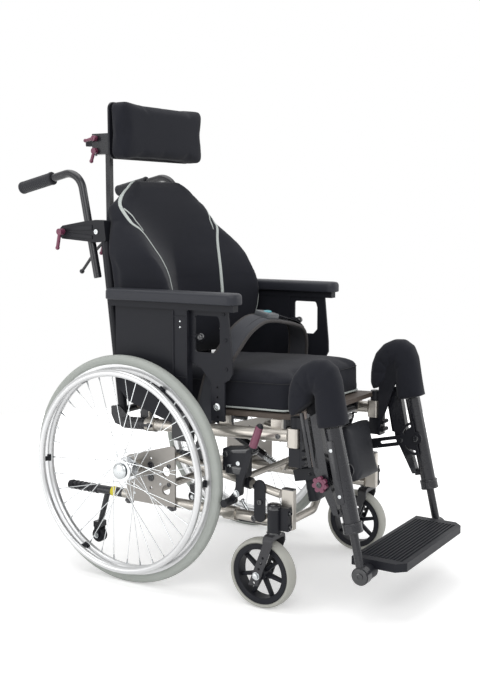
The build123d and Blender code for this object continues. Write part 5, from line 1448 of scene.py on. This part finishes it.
@dataclass
class BackCushion:
    """The contoured back cushion: a narrow head, deep side wings, light trim along the wings' edges and a painted
    highlight line along each wing's front tip.

    Each of rows gives a height, the half width, the wings' front, the width of their rounding and the depth
    behind the hollow. Each line of trim, and the painted highlight line, gives places and the band's half width there.
    """

    rows: tuple[tuple[float, float, float, float, float], ...] = (
        (566, 204, 14, 26, 46), (600, 214, -32, 28, 60), (650, 222, -70, 28, 66), (700, 228, -88, 28, 68),
        (760, 230, -93, 28, 68), (790, 231, -86, 28, 67), (830, 232, -66, 28, 66), (860, 235, -45, 28, 64),
        (880, 235, -27, 28, 63), (900, 231, -8, 28, 62), (930, 222, 22, 28, 61), (957, 211, 50, 28, 60),
        (1005, 199, 78, 28, 58), (1018, 180, 84, 28, 56), (1048, 138, 90, 28, 50), (1064, 114, 98, 26, 44),
        (1072, 98, 106, 22, 36))
    edge: tuple[tuple[float, float, float, float], ...] = (
        (98, 122, 1069, 6.0), (122, 120, 1056, 7.0), (143, 118, 1041, 7.0), (161, 112, 1027, 6.5),
        (174, 106, 1012, 5.5), (188, 92, 992, 4.6), (196, 72, 968, 4.4), (198, 50, 944, 4.4),
        (184, 34, 922, 4.2), (170, 25, 902, 4.2), (146, 3, 855, 4.4), (134, -10, 818, 4.6),
        (129, -17, 781, 4.8), (127, -22, 757, 4.8), (126, -24, 700, 4.8), (126, -18, 640, 4.8))
    branch: tuple[tuple[float, float, float, float], ...] = (
        (190, 84, 986, 2.0), (182, 64, 962, 2.2), (176, 48, 940, 2.0), (172, 40, 926, 1.2))
    # Painted highlight: a thin light band along each wing's front tip, where the edge catches the light.
    painted_wing_highlight: tuple[tuple[float, float, float, float], ...] = (
        (226, -78, 762, 1.8), (228, -88, 735, 2.2), (228, -92, 700, 2.2), (225, -86, 660, 2.2),
        (217, -60, 615, 2.0))

    def row_at(self, z: float) -> list[float]:
        """Return half width, tip, wing and hollow at a height, smoothly between the rows."""
        levels = [row[0] for row in self.rows]
        index = min(max(sum(level <= z for level in levels) - 1, 0), len(levels) - 2)
        share = (z - levels[index]) / (levels[index + 1] - levels[index])
        found = []
        for column in range(1, 5):
            value = [row[column] for row in self.rows]
            first, second = value[index], value[index + 1]
            before = value[max(index - 1, 0)]
            after = value[min(index + 2, len(value) - 1)]
            cubic = share * (3 * (first - second) + after - before)
            square = share * (2 * before - 5 * first + 4 * second - after + cubic)
            found.append(first + 0.5 * share * (second - before + square))
        return found

    def outline(self, z: float) -> list[Vector]:
        """Return the level outline of the cushion at a height."""
        half, tip, wing, hollow = self.row_at(z)
        rear = cane_y(z) + 1.5
        core = min(half - 3, 197) if z < 1000 else half - 28
        radius = wing / 2
        inner = half - 1.63 * radius
        front = rear - hollow
        power = np.interp(z, (757, 818, 860, 902, 960), (1.23, 1.22, 1.37, 1.88, 2.6))
        points = [(core * share, rear) for share in np.linspace(-1, 1, 13)]
        step = rear - 20
        points += [(half, step + (tip + radius - step) * share) for share in np.linspace(0, 1, 9)]
        points += [(half - radius + radius * math.cos(angle), tip + radius - radius * math.sin(angle))
                   for angle in np.linspace(0.25, 2.25, 9)]
        points += [(inner * share, front + (tip + 0.22 * radius - front) * abs(share) ** power)
                   for share in np.linspace(0.97, -0.97, 25)]
        mirrored = [(-x, y) for x, y in reversed(points[13:31])]
        return [at(x, y, z) for x, y in points + mirrored]

    def build(self, shop: Workshop) -> None:
        """Make the cushion and its trim."""
        levels = [566 + 8 * step for step in range(60)] + [1044, 1052, 1060, 1066, 1072]
        bm = bmesh.new()
        add_loops(bm, [self.outline(z) for z in levels])
        cushion = shop.piece(bm, "back_cushion_cover", COVER, sharp=SMOOTH)
        inflate(cushion, 6.0, 1.6, 5.0)
        wrinkle(cushion, 80, 2.0, lambda co: 1.0 if co.z < 0.8 else 0.4)
        shop.dress(cushion, COVER, SMOOTH)
        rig.padded(cushion, 0.75)
        shop.settle(cushion, "back", ["back_cushion"])
        self.lay_trim_and_painted_highlight(shop, cushion)

    def lay_trim_and_painted_highlight(self, shop: Workshop, cushion: bpy.types.Object) -> None:
        """Lay the light trim on both wings, the thin second line near the head and the painted highlight along each
        wing's front tip.
        """
        tree = BVHTree.FromObject(cushion, bpy.context.evaluated_depsgraph_get())
        bm = bmesh.new()
        for sign in SIDES.values():
            # The last line is the painted highlight along the wing's front tip, in the light trim's colour.
            for line in (self.edge, self.branch, self.painted_wing_highlight):
                spots = [tree.find_nearest(at(sign * x, y, z))[0] for x, y, z, _ in line]
                path = run_points(spots)
                widths = np.interp(np.linspace(0, 1, len(path)), np.linspace(0, 1, len(line)),
                                   [row[3] for row in line])
                self.ribbon(bm, tree, path, widths)
        # One piece holds the light trim and the painted highlight line.
        shop.piece(bm, "back_trim", PIPING_AND_PAINTED_HIGHLIGHT, "back", sharp=SMOOTH)

    @staticmethod
    def ribbon(bm: Shape, tree: BVHTree, path: Sequence[Vector], widths: Sequence[float]) -> None:
        """Lay a flat band along a path on a surface, of a half width that may change, as cloth trim or as a painted
        highlight line.
        """
        section = ((-1, -0.8), (-0.9, 0.8), (0, 1.5), (0.9, 0.8), (1, -0.8), (0, -1.6))
        loops = []
        for index, (point, half) in enumerate(zip(path, widths)):
            ahead = (path[min(index + 1, len(path) - 1)] - path[max(index - 1, 0)]).normalized()
            spot, normal, _, _ = tree.find_nearest(point)
            across = normal.cross(ahead).normalized()
            loops.append([spot + across * (x * half / MM) + normal * (lift / MM)
                          for x, lift in section])
        add_loops(bm, loops)


@dataclass
class BackCover:
    """The textured cloth over the shell behind the back cushion, between the canes."""

    rows: tuple[tuple[float, float], ...] = (
        (488, 190), (500, 197), (620, 198), (800, 198), (930, 198), (965, 196), (985, 190), (997, 178),
        (1002, 160))

    def build(self, shop: Workshop) -> None:
        """Make the cover as one thin closed form."""
        loops = []
        for z, half in self.rows:
            middle = cane_y(z)
            front, rear = middle - 15, middle + 14
            outline = [(half * share, rear) for share in (0.0, 0.5, 0.9)]
            outline += [(half - 2, rear - 3), (half, middle), (half - 2, front + 3), (half * 0.93, front)]
            outline += [(half * 0.88, middle + 1), (half * 0.5, middle + 1.8)]
            mirrored = [(-x, y) for x, y in reversed(outline[1:])]
            loops.append([at(x, y, z) for x, y in outline + mirrored])
        bm = bmesh.new()
        add_loops(bm, loops)
        cover = shop.piece(bm, "back_cover", SIDE_CLOTH, sharp=60)
        rounder = cover.modifiers.new("rounder", "SUBSURF")
        rounder.levels = rounder.render_levels = 2
        bake(cover)
        wrinkle(cover, 70, 1.5, lambda co: 1.0)
        shop.dress(cover, SIDE_CLOTH, SMOOTH)
        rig.padded(cover, 0.3)
        shop.settle(cover, "back", ["back_shell"])


@dataclass
class BackDress:
    """Finishes of the back frame, with the ribs and bolts of its clamp arms."""

    ribs: tuple[tuple[tuple[float, float], ...], ...] = (
        ((160, 908), (258, 914), (264, 920), (258, 926), (160, 918)),
        ((160, 932), (252, 930), (258, 936), (252, 941), (160, 946)))

    def build(self, shop: Workshop) -> None:
        """Dress the frame and add the fittings of both sides."""
        shop.node("back_frame", POWDER)
        for side, sign in SIDES.items():
            spot = side_at(sign)
            bm = bmesh.new()
            for x, way in ((198.5, -1), (231.5, 1)):
                for rib in self.ribs:
                    add_plate(bm, [spot(x, y, z) for y, z in rib], Vector((sign * way * 0.002, 0, 0)), 0.8)
            shop.piece(bm, f"clamp_ribs_{side}", POWDER, "back")
            bm = bmesh.new()
            add_bolt(bm, spot(231, 146, 928), Vector((sign, 0, 0)), 7.0, 4.0)
            add_bolt(bm, spot(199, 146, 928), Vector((-sign, 0, 0)), 7.0, 4.0)
            shop.piece(bm, f"clamp_bolts_{side}", ZINC, "back", sharp=30)


@dataclass
class HeadRest:
    """The head cushion with its mast, clamp and levers."""

    half: float = 188.5
    low: float = 1123.5
    high: float = 1278.5
    front: float = 82.0
    rear: float = 130.5
    seam: float = 163.0

    def build(self, shop: Workshop) -> None:
        """Make the cushion with its two upright seams, and the clamp's levers."""
        bm = bmesh.new()
        made = add_block(bm, at(-self.half, self.front, self.low), at(self.half, self.rear, self.high))
        made = round_edges(bm, made, 20, lambda edge: abs(edge.verts[0].co.y - edge.verts[1].co.y) > 0.02, 6)
        face = at(0, 100, 0).y
        round_edges(bm, made, 9, lambda edge: all(vert.co.y < face for vert in edge.verts), 4)
        cushion = shop.piece(bm, "head_cushion_cover", COVER, sharp=SMOOTH)
        inflate(cushion, 5.0, 3.0, 7.0)
        points = points_of(cushion)
        points[:, 1] = np.minimum(points[:, 1], at(0, 131.7, 0).y)
        set_points(cushion, points)
        for way in (-1, 1):
            crease(cushion, self.upright(way * self.seam), 2.2, 1.6)
        wrinkle(cushion, 70, 1.4, lambda co: 0.7)
        shop.dress(cushion, COVER, SMOOTH)
        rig.padded(cushion, 0.8)
        shop.settle(cushion, "headrest", ["headrest_cushion"])
        shop.node("headrest_post", SATIN_TUBE)
        shop.node("headrest_arm", POWDER)
        shop.node("headrest_lever", MAROON)
        self.make_clamp(shop)

    def upright(self, x: float) -> list[Vector]:
        """Return close points of a seam that runs up the front and over both edges."""
        corners = [(self.rear, self.low), (self.front - 4, self.low - 2), (self.front - 4, self.high + 2),
                   (self.rear, self.high)]
        line = [at(x, self.rear + (y - self.rear) * share, first + (z - first) * share)
                for (_, first), (y, z) in zip(corners, corners[1:]) for share in np.linspace(0, 1, 12)]
        return run_points(line, smooth=False)

    def make_clamp(self, shop: Workshop) -> None:
        """Make the clamp's upper lever, its bolts and the mast's end cap."""
        bm = bmesh.new()
        add_rod(bm, at(-19, 322, 1196), at(-34, 322, 1196), 8.5, bevel=2.0)
        add_rod(bm, at(-30, 322, 1196), at(-33, 350, 1190), 5.5, 4.0, bevel=1.5)
        add_ball(bm, at(-33, 351, 1190), 5.5)
        shop.piece(bm, "head_clamp_lever", MAROON, "headrest_mast", sharp=50)
        bm = bmesh.new()
        for y in (300, 322):
            add_bolt(bm, at(18, y, 1166), Vector((1, 0, 0)), 5.5, 4.0)
        add_bolt(bm, at(0, 340, 1150), Vector((0, 0, -1)), 5.5, 4.0)
        shop.piece(bm, "head_clamp_bolts", ZINC, "headrest_mast", sharp=30)
        bm = bmesh.new()
        add_block(bm, at(-7, 367, 1177), at(7, 373, 1191), 2.0)
        shop.piece(bm, "head_bar_cap", GLOSS_PLASTIC, "headrest")
        bm = bmesh.new()
        add_block(bm, at(-7.4, 280.6, 802), at(7.4, 295.4, 809), 1.5)
        shop.piece(bm, "mast_cap", GLOSS_PLASTIC, "headrest_mast")
        bm = bmesh.new()
        add_rod(bm, at(-13.4, 288, 900), at(-30, 288, 900), 9.0, bevel=2.0)
        add_rod(bm, at(-26, 288, 900), at(-29, 300, 862), 5.5, 4.0, bevel=1.5)
        add_ball(bm, at(-29, 300, 861), 5.8)
        shop.piece(bm, "mast_socket_lever", MAROON, "back", sharp=50)
        bm = bmesh.new()
        stalk = [at(-24, 296, 892), at(-28, 320, 872), at(-30, 345, 838), at(-30, 374, 806)]
        add_run(bm, stalk, 4.5, sides=4)
        add_ball(bm, at(-30, 375, 805), 7.5)
        shop.piece(bm, "tilt_release_lever", SATIN_TUBE, "back", sharp=60)


@dataclass
class PushHandle:
    """One push handle: the bent tube, its ribbed rubber grip and its clamping lever."""

    side: str
    sign: int
    corner: tuple[float, float] = (216.0, 1096.5)
    end: tuple[float, float] = (431.0, 1049.0)

    def build(self, shop: Workshop) -> None:
        """Dress the tube and make the grip."""
        body = f"push_handle_{self.side}"
        shop.node(body, SATIN_TUBE)
        shop.node(f"handle_lever_{self.side}", MAROON)
        spot = side_at(self.sign)
        run = Vector((0, self.end[0] - self.corner[0], self.end[1] - self.corner[1])).normalized()
        slope = (self.corner[1] - self.end[1]) / (self.end[0] - self.corner[0])
        start = spot(215, 314, self.end[1] + (self.end[0] - 314) * slope)
        profile = [(11.3, -1.0), (16.2, -1.0), (18.4, 1.0), (18.4, 5.0), (16.8, 7.5)]
        for rib in range(14):
            low = 10 + 7 * rib
            profile += [(16.4, low), (17.3, low + 1.5), (17.3, low + 4.2), (16.4, low + 5.6)]
        profile += [(17.2, 110), (17.8, 114), (17.2, 118.5), (14.0, 121.3), (0, 121.6)]
        bm = bmesh.new()
        place = Matrix.Translation(start) @ run.to_track_quat("Z", "Y").to_matrix().to_4x4()
        add_turned(bm, profile, place, 36)
        shop.piece(bm, f"handle_grip_{self.side}", GRIP_RUBBER, body, sharp=40)


# ---------------------------------------------------------------- armrests
@dataclass
class Armrest:
    """One armrest: padded top, moulded side and the small fittings on it."""

    side: str
    sign: int

    def build(self, shop: Workshop) -> None:
        """Make the pad and the fittings."""
        body = f"armrest_{self.side}"
        shop.node(f"armrest_frame_{self.side}", PLASTIC)
        self.make_pad(shop, body)
        self.make_fittings(shop, body)

    def make_pad(self, shop: Workshop, body: str) -> None:
        """Make the arm pad with its rolled top and round nose."""
        spot = side_at(self.sign)
        bm = bmesh.new()
        made = add_block(bm, spot(234.5, -334, 752.5), spot(289.5, 82, 781))
        made = round_edges(bm, made, 25, lambda edge: abs(edge.verts[0].co.z - edge.verts[1].co.z) > 0.01, 8)
        made = round_edges(bm, made, 10, lambda edge: min(vert.co.z for vert in edge.verts) > 0.77, 5)
        round_edges(bm, made, 3.0, lambda edge: max(vert.co.z for vert in edge.verts) < 0.754, 3)
        for vert in bm.verts:
            along_pad = (vert.co.y - at(0, -334, 0).y) / 0.416
            if vert.co.z > 0.76:
                vert.co.z += 0.0016 * math.sin(math.pi * min(max(along_pad, 0), 1))
        pad = shop.piece(bm, f"arm_pad_top_{self.side}", PAD_FOAM, body, [f"arm_pad_{self.side}"],
                         sharp=SMOOTH)
        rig.padded(pad, 1.0)

    def make_fittings(self, shop: Workshop, body: str) -> None:
        """Make the raised edges, rivets, knob and screw."""
        spot = side_at(self.sign)
        out = Vector((self.sign, 0, 0))
        bm = bmesh.new()
        for y in (-183, -141):
            add_block(bm, spot(271.5, y, 474), spot(274.5, y + 5, 732), 0.8)
        for z in (716, 560, 500):
            add_block(bm, spot(271.5, -181, z), spot(273.6, -140, z + 3), 0.6)
        for y, z in ((-284, 727), (-290, 663), (-292, 590)):
            place = Matrix.Translation(spot(260, y, z)) @ Matrix.Rotation(self.sign * math.pi / 2, 4, "Y")
            add_turned(bm, [(0, 1.0), (2.4, 1.0), (3.2, 1.8), (4.6, 1.8), (5.2, 0), (0, 0)], place, 24)
        add_rod(bm, spot(256, -184, 668), spot(256, -203, 668), 5.4, bevel=0.8)
        shop.piece(bm, f"arm_edges_{self.side}", PLASTIC, body)
        bm = bmesh.new()
        for z in (705, 690, 520):
            add_bolt(bm, spot(272, -160, z), out, 2.2, 1.4)
        add_bolt(bm, spot(260, -266, 493), out, 9.5, 4.5)
        shop.piece(bm, f"arm_rivets_{self.side}", ZINC, body, sharp=30)
        bm = bmesh.new()
        add_ball(bm, spot(256, -212, 666), 10.0)
        shop.piece(bm, f"arm_knob_{self.side}", GLOSS_PLASTIC, body, sharp=SMOOTH)


# ---------------------------------------------------------------- legrests
@dataclass
class KneePad:
    """One knee pad: a thick sleeve arched over the knee joint, gathered at its inner corner.

    Each of sections gives the inner and then the outer edge's place along and up.
    """

    side: str
    sign: int
    middle: float = 233.0
    half: float = 30.0
    sections: tuple[tuple[float, float, float, float], ...] = (
        (-518, 524, -466, 488), (-521, 530, -458, 508), (-523, 536, -459, 535), (-525, 541, -463, 563),
        (-527, 545, -476, 594), (-529, 547, -500, 619), (-531, 547, -529, 632), (-532, 545, -558, 633),
        (-533, 541, -584, 617), (-534, 534, -598, 588), (-535, 525, -604, 561), (-537, 512, -609, 536),
        (-541, 495, -614, 513), (-545, 477, -618, 495), (-548, 464, -621, 484))

    def build(self, shop: Workshop) -> None:
        """Make the sleeve and its gathers."""
        loops = [self.loop(*section) for section in self.sections]
        bm = bmesh.new()
        add_loops(bm, loops)
        pad = shop.piece(bm, f"knee_sleeve_{self.side}", COVER, sharp=SMOOTH)
        inflate(pad, 4.0, 4.0, 6.5)
        self.gather(pad)
        shop.dress(pad, COVER, SMOOTH)
        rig.padded(pad, 0.7)
        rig.replaces(pad, f"knee_pad_{self.side}")
        spot = side_at(self.sign)
        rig.blend(pad, f"leg_hanger_{self.side}", f"leg_{self.side}",
                 start=spot(241, -508, 560), end=spot(241, -556, 560))
        shop.pieces.append(pad)

    def loop(self, in_y: float, in_z: float, out_y: float, out_z: float) -> list[Vector]:
        """Return one section of the sleeve, from its inner to its outer edge."""
        spot = side_at(self.sign)
        points = []
        for step in range(24):
            angle = step / 24 * 2 * math.pi
            share = 0.5 + 0.5 * math.copysign(abs(math.cos(angle)) ** 0.6, math.cos(angle))
            across = math.copysign(abs(math.sin(angle)) ** 0.75, math.sin(angle)) * self.half
            points.append(spot(self.middle + across, in_y + (out_y - in_y) * share,
                               in_z + (out_z - in_z) * share))
        return points

    def gather(self, pad: bpy.types.Object) -> None:
        """Press fan-shaped folds round the inner corner on both faces."""
        spot = side_at(self.sign)
        folds = ((-500, 572, 3.4), (-522, 596, 3.8), (-545, 590, 3.2), (-486, 540, 2.6), (-560, 566, 2.2))
        for y, z, depth in folds:
            for face in (self.half + 2, -self.half - 2):
                start, end = spot(self.middle + face, -529, 541), spot(self.middle + face, y, z)
                crease(pad, [start.lerp(end, share / 12) for share in range(13)], 3.6, depth)
        wrinkle(pad, 26, 1.6, lambda co: max(0.0, 1 - (co - spot(241, -529, 560)).length / 0.075))


@dataclass
class LegRest:
    """One legrest: hanger, leg tube, foot tube, calf pad and their fittings."""

    side: str
    sign: int
    knee: tuple[float, float] = (-555.0, 590.0)
    lean: float = 12.9

    def spot(self, x: float, rearward: float, up: float) -> Vector:
        """Return the place of a point given in the leaning leg's own directions."""
        turn = math.radians(self.lean)
        y = self.knee[0] + rearward * math.cos(turn) + up * math.sin(turn)
        z = self.knee[1] - rearward * math.sin(turn) + up * math.cos(turn)
        return at(self.sign * x, y, z)

    def build(self, shop: Workshop) -> None:
        """Dress the nodes and make the fittings and pads."""
        for name, finish in (("leg_hanger", POWDER), ("leg_tube", SATIN_TUBE), ("foot_tube", SATIN_TUBE),
                             ("calf_arm", POWDER), ("star_knob", MAROON)):
            shop.node(f"{name}_{self.side}", finish)
        self.make_hanger_trim(shop)
        self.make_leg_trim(shop)
        self.make_calf_pad(shop)
        self.make_foot_trim(shop)

    def make_hanger_trim(self, shop: Workshop) -> None:
        """Make the hanger's rails with the light strip between them."""
        spot = side_at(self.sign)
        body = f"leg_hanger_{self.side}"
        bm = bmesh.new()
        for rear, front in ((-494, -504), (-514, -524)):
            corners = ((rear, 500), (front, 500), (front - 26, 368), (rear - 26, 368))
            add_plate(bm, [spot(243, y, z) for y, z in corners], Vector((self.sign * 0.005, 0, 0)), 1.0)
        shop.piece(bm, f"hanger_rails_{self.side}", SATIN_TUBE, body)
        bm = bmesh.new()
        corners = ((-505, 504), (-513, 504), (-539, 370), (-531, 370))
        add_plate(bm, [spot(243, y, z) for y, z in corners], Vector((self.sign * 0.0036, 0, 0)), 0.6)
        shop.piece(bm, f"hanger_strip_{self.side}", STRIP, body)

    def make_leg_trim(self, shop: Workshop) -> None:
        """Make the leg's bar and screws, the knob's centre, the calf lug's bolts and the collar's rings."""
        out = Vector((self.sign, 0, 0))
        bm = bmesh.new()
        for up in (-173, -284):
            add_bolt(bm, self.spot(260.5, 6, up), out, 4.6, 2.6)
        shop.piece(bm, f"strut_rivets_{self.side}", ZINC, f"leg_{self.side}", sharp=30)
        bm = bmesh.new()
        bar = [self.spot(256.5, -5, -150), self.spot(256.5, 15, -150), self.spot(256.5, 17, -304),
               self.spot(256.5, -3, -304)]
        add_plate(bm, bar, Vector((self.sign * 0.004, 0, 0)), 1.0, 7)
        shop.piece(bm, f"leg_bar_{self.side}", SATIN_TUBE, f"leg_{self.side}")
        bm = bmesh.new()
        add_bolt(bm, self.spot(263, 54, -251), out, 7.0, 3.0)
        shop.piece(bm, f"knob_centre_{self.side}", GLOSS_PLASTIC, f"star_knob_{self.side}", sharp=30)
        bm = bmesh.new()
        add_bolt(bm, self.spot(206.5, 0, -231), -out, 9.0, 4.0)
        add_bolt(bm, self.spot(206.5, 44, -231), -out, 6.0, 3.0)
        shop.piece(bm, f"calf_bolts_{self.side}", GLOSS_PLASTIC, f"calf_{self.side}", sharp=30)
        bm = bmesh.new()
        for up in (-376, -356):
            add_rod(bm, self.spot(238, 0, up), self.spot(238, 0, up + 5), 24.2, bevel=1.5)
        shop.piece(bm, f"collar_rings_{self.side}", SATIN_TUBE, f"leg_{self.side}")

    def make_calf_pad(self, shop: Workshop) -> None:
        """Make the calf pad as a tight cushion."""
        bm = bmesh.new()
        inner, outer, rear = 43.0, 184.0, 141.8
        corners = [self.spot(x, rear, up)
                   for x, up in ((inner, -307), (outer, -307), (outer, -157), (inner, -157))]
        through = self.spot(0, 116, 0) - self.spot(0, rear, 0)
        add_plate(bm, corners, through, 0, 7)
        pad = shop.piece(bm, f"calf_cushion_{self.side}", CALF_SKIN, sharp=SMOOTH)
        inflate(pad, 4.5, 3.0, 5.0)
        shop.dress(pad, CALF_SKIN, SMOOTH)
        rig.padded(pad, 0.9)
        shop.settle(pad, f"calf_{self.side}", [f"calf_pad_{self.side}"])

    def make_foot_trim(self, shop: Workshop) -> None:
        """Make the cap of the foot tube's disc."""
        body = f"foot_{self.side}"
        out = Vector((self.sign, 0, 0))
        bm = bmesh.new()
        add_rod(bm, self.spot(248.4, 0, -480), self.spot(251.5, 0, -480), 20.0, 19.0, bevel=1.2)
        add_bolt(bm, self.spot(251.3, 0, -480), out, 9.0, 3.0)
        shop.piece(bm, f"foot_disc_cap_{self.side}", GLOSS_PLASTIC, body, sharp=30)


@dataclass
class FootPlate:
    """The ribbed footplate, with a raised line on each of its ribs."""

    front: float = -752.0
    reach: float = 172.0
    pitch: float = 9.667
    ribs: int = 11

    def build(self, shop: Workshop) -> None:
        """Dress the plate and add a raised line on each rib."""
        shop.node("footplate", PLASTIC)
        bm = bmesh.new()
        for row in range(self.ribs):
            y = self.front + 19.5 + self.pitch * row
            add_block(bm, at(-self.reach, y, 150.4), at(self.reach, y + 3.4, 152.0), 0.5, segments=1)
        shop.piece(bm, "footplate_ribs", PLASTIC, "footplate")


# ---------------------------------------------------------------- room
@dataclass
class Room:
    """The pale floor, soft lights and camera."""

    camera: Point = (-2389.3, -1685.8, 975.1)
    yaw: float = 0.566
    pitch: float = -0.121
    lens: float = 54.63
    floor: float = 2.4
    lamps: tuple[tuple[str, Point, float, float], ...] = (
        ("key", (-3.2, -2.2, 3.0), 2.6, 70), ("fill", (2.4, -3.4, 1.9), 2.6, 42),
        ("top", (-0.2, 0.6, 3.8), 3.0, 62), ("low", (-3.0, 1.6, 0.9), 1.8, 22))

    def build(self) -> None:
        """Make the whole setting."""
        self.make_floor()
        self.make_lights()
        self.make_camera()

    def make_floor(self) -> None:
        """Make a round white floor that fades into the white world and keeps the chair's shadow."""
        bm = bmesh.new()
        bmesh.ops.create_circle(bm, cap_ends=True, segments=96, radius=self.floor)
        mesh = bpy.data.meshes.new("floor")
        bm.to_mesh(mesh)
        bm.free()
        floor = bpy.data.objects.new("floor", mesh)
        bpy.context.scene.collection.objects.link(floor)
        material = bpy.data.materials.new("floor")
        material.use_nodes = True
        kit = NodeKit(material.node_tree)
        shader = material.node_tree.nodes["Principled BSDF"]
        shader.inputs["Base Color"].default_value = (0.9, 0.9, 0.9, 1)
        shader.inputs["Roughness"].default_value = 1.0
        shader.inputs["Specular IOR Level"].default_value = 0.0
        shader.inputs["Emission Color"].default_value = (1, 1, 1, 1)
        reach = kit.add("VectorMath", operation="LENGTH")
        kit.feed(kit.add("TexCoord").outputs["Object"], reach.inputs[0])
        fade = kit.add("MapRange")
        for title, value in (("From Min", 0.7), ("From Max", 1.9), ("To Min", 0.34), ("To Max", 1.0)):
            fade.inputs[title].default_value = value
        kit.feed(reach.outputs["Value"], fade.inputs["Value"])
        glow = kit.math("MULTIPLY", self.seen(kit), fade.outputs["Result"])
        kit.feed(glow, shader.inputs["Emission Strength"])
        mesh.materials.append(material)
        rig.stage(floor)

    @staticmethod
    def seen(kit: NodeKit) -> Socket:
        """Return one for what the camera sees, in itself or in shiny or clear things."""
        path = kit.add("LightPath")
        through = kit.math("MAXIMUM", path.outputs["Is Glossy Ray"], path.outputs["Is Transmission Ray"])
        return kit.math("MAXIMUM", path.outputs["Is Camera Ray"], through)

    def make_lights(self) -> None:
        """Make the soft lamps and a plain world."""
        for name, place, size, power in self.lamps:
            data = bpy.data.lights.new(name, "AREA")
            data.size = size
            data.energy = power
            light = bpy.data.objects.new(name, data)
            light.location = place
            aim = Vector((0, 0, 0.6)) - Vector(place)
            light.rotation_euler = aim.to_track_quat("-Z", "Y").to_euler()
            bpy.context.scene.collection.objects.link(light)
        world = bpy.data.worlds.new("studio")
        world.use_nodes = True
        kit = NodeKit(world.node_tree)
        back = world.node_tree.nodes["Background"]
        kit.feed((1.0, 1.0, 1.0, 1.0), back.inputs["Color"])
        kit.feed(kit.mix_value(self.seen(kit), 0.5, 1.0), back.inputs["Strength"])
        bpy.context.scene.world = world

    def make_camera(self) -> None:
        """Put the camera where the photograph was taken from."""
        data = bpy.data.cameras.new("camera")
        data.sensor_fit = "VERTICAL"
        data.sensor_height = 36.0
        data.lens = self.lens
        data.clip_end = 60
        camera = bpy.data.objects.new("camera", data)
        camera.location = at(*self.camera)
        level = math.cos(self.pitch)
        look = Vector((math.cos(self.yaw) * level, math.sin(self.yaw) * level, math.sin(self.pitch)))
        camera.rotation_euler = look.to_track_quat("-Z", "Y").to_euler()
        bpy.context.scene.collection.objects.link(camera)
        bpy.context.scene.camera = camera


def write_sizes(before: object) -> None:
    """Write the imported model's box and the dressed model's box, one line of numbers each."""
    sizes = {"cad": [list(corner) for corner in before],
             "visual": [list(corner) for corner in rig.bounds()]}
    with open("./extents.json", "w") as file:
        json.dump(sizes, file)


def main() -> None:
    """Build the room and every sub-assembly, in order."""
    logging.basicConfig(level=logging.INFO, format="%(message)s")
    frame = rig.load()
    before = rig.bounds()
    bpy.context.scene.view_settings.view_transform = "Standard"
    Room().build()
    shop = Workshop(frame, Palette())
    parts = [BaseDress(), Struts(), SeatDress(), SeatCushion(), LapBelt(), BackDress(), BackCover(),
             BackCushion(), HeadRest(), FootPlate()]
    for side, sign in SIDES.items():
        parts += [RearWheel(side, sign), Castor(side, sign), Brake(side, sign), AntiTipper(side, sign),
                  PushHandle(side, sign), Armrest(side, sign), LegRest(side, sign), KneePad(side, sign)]
    for part in parts:
        part.build(shop)
    LOG.info("%d pieces", len(shop.pieces))
    write_sizes(before)


if __name__ == "__main__":
    main()
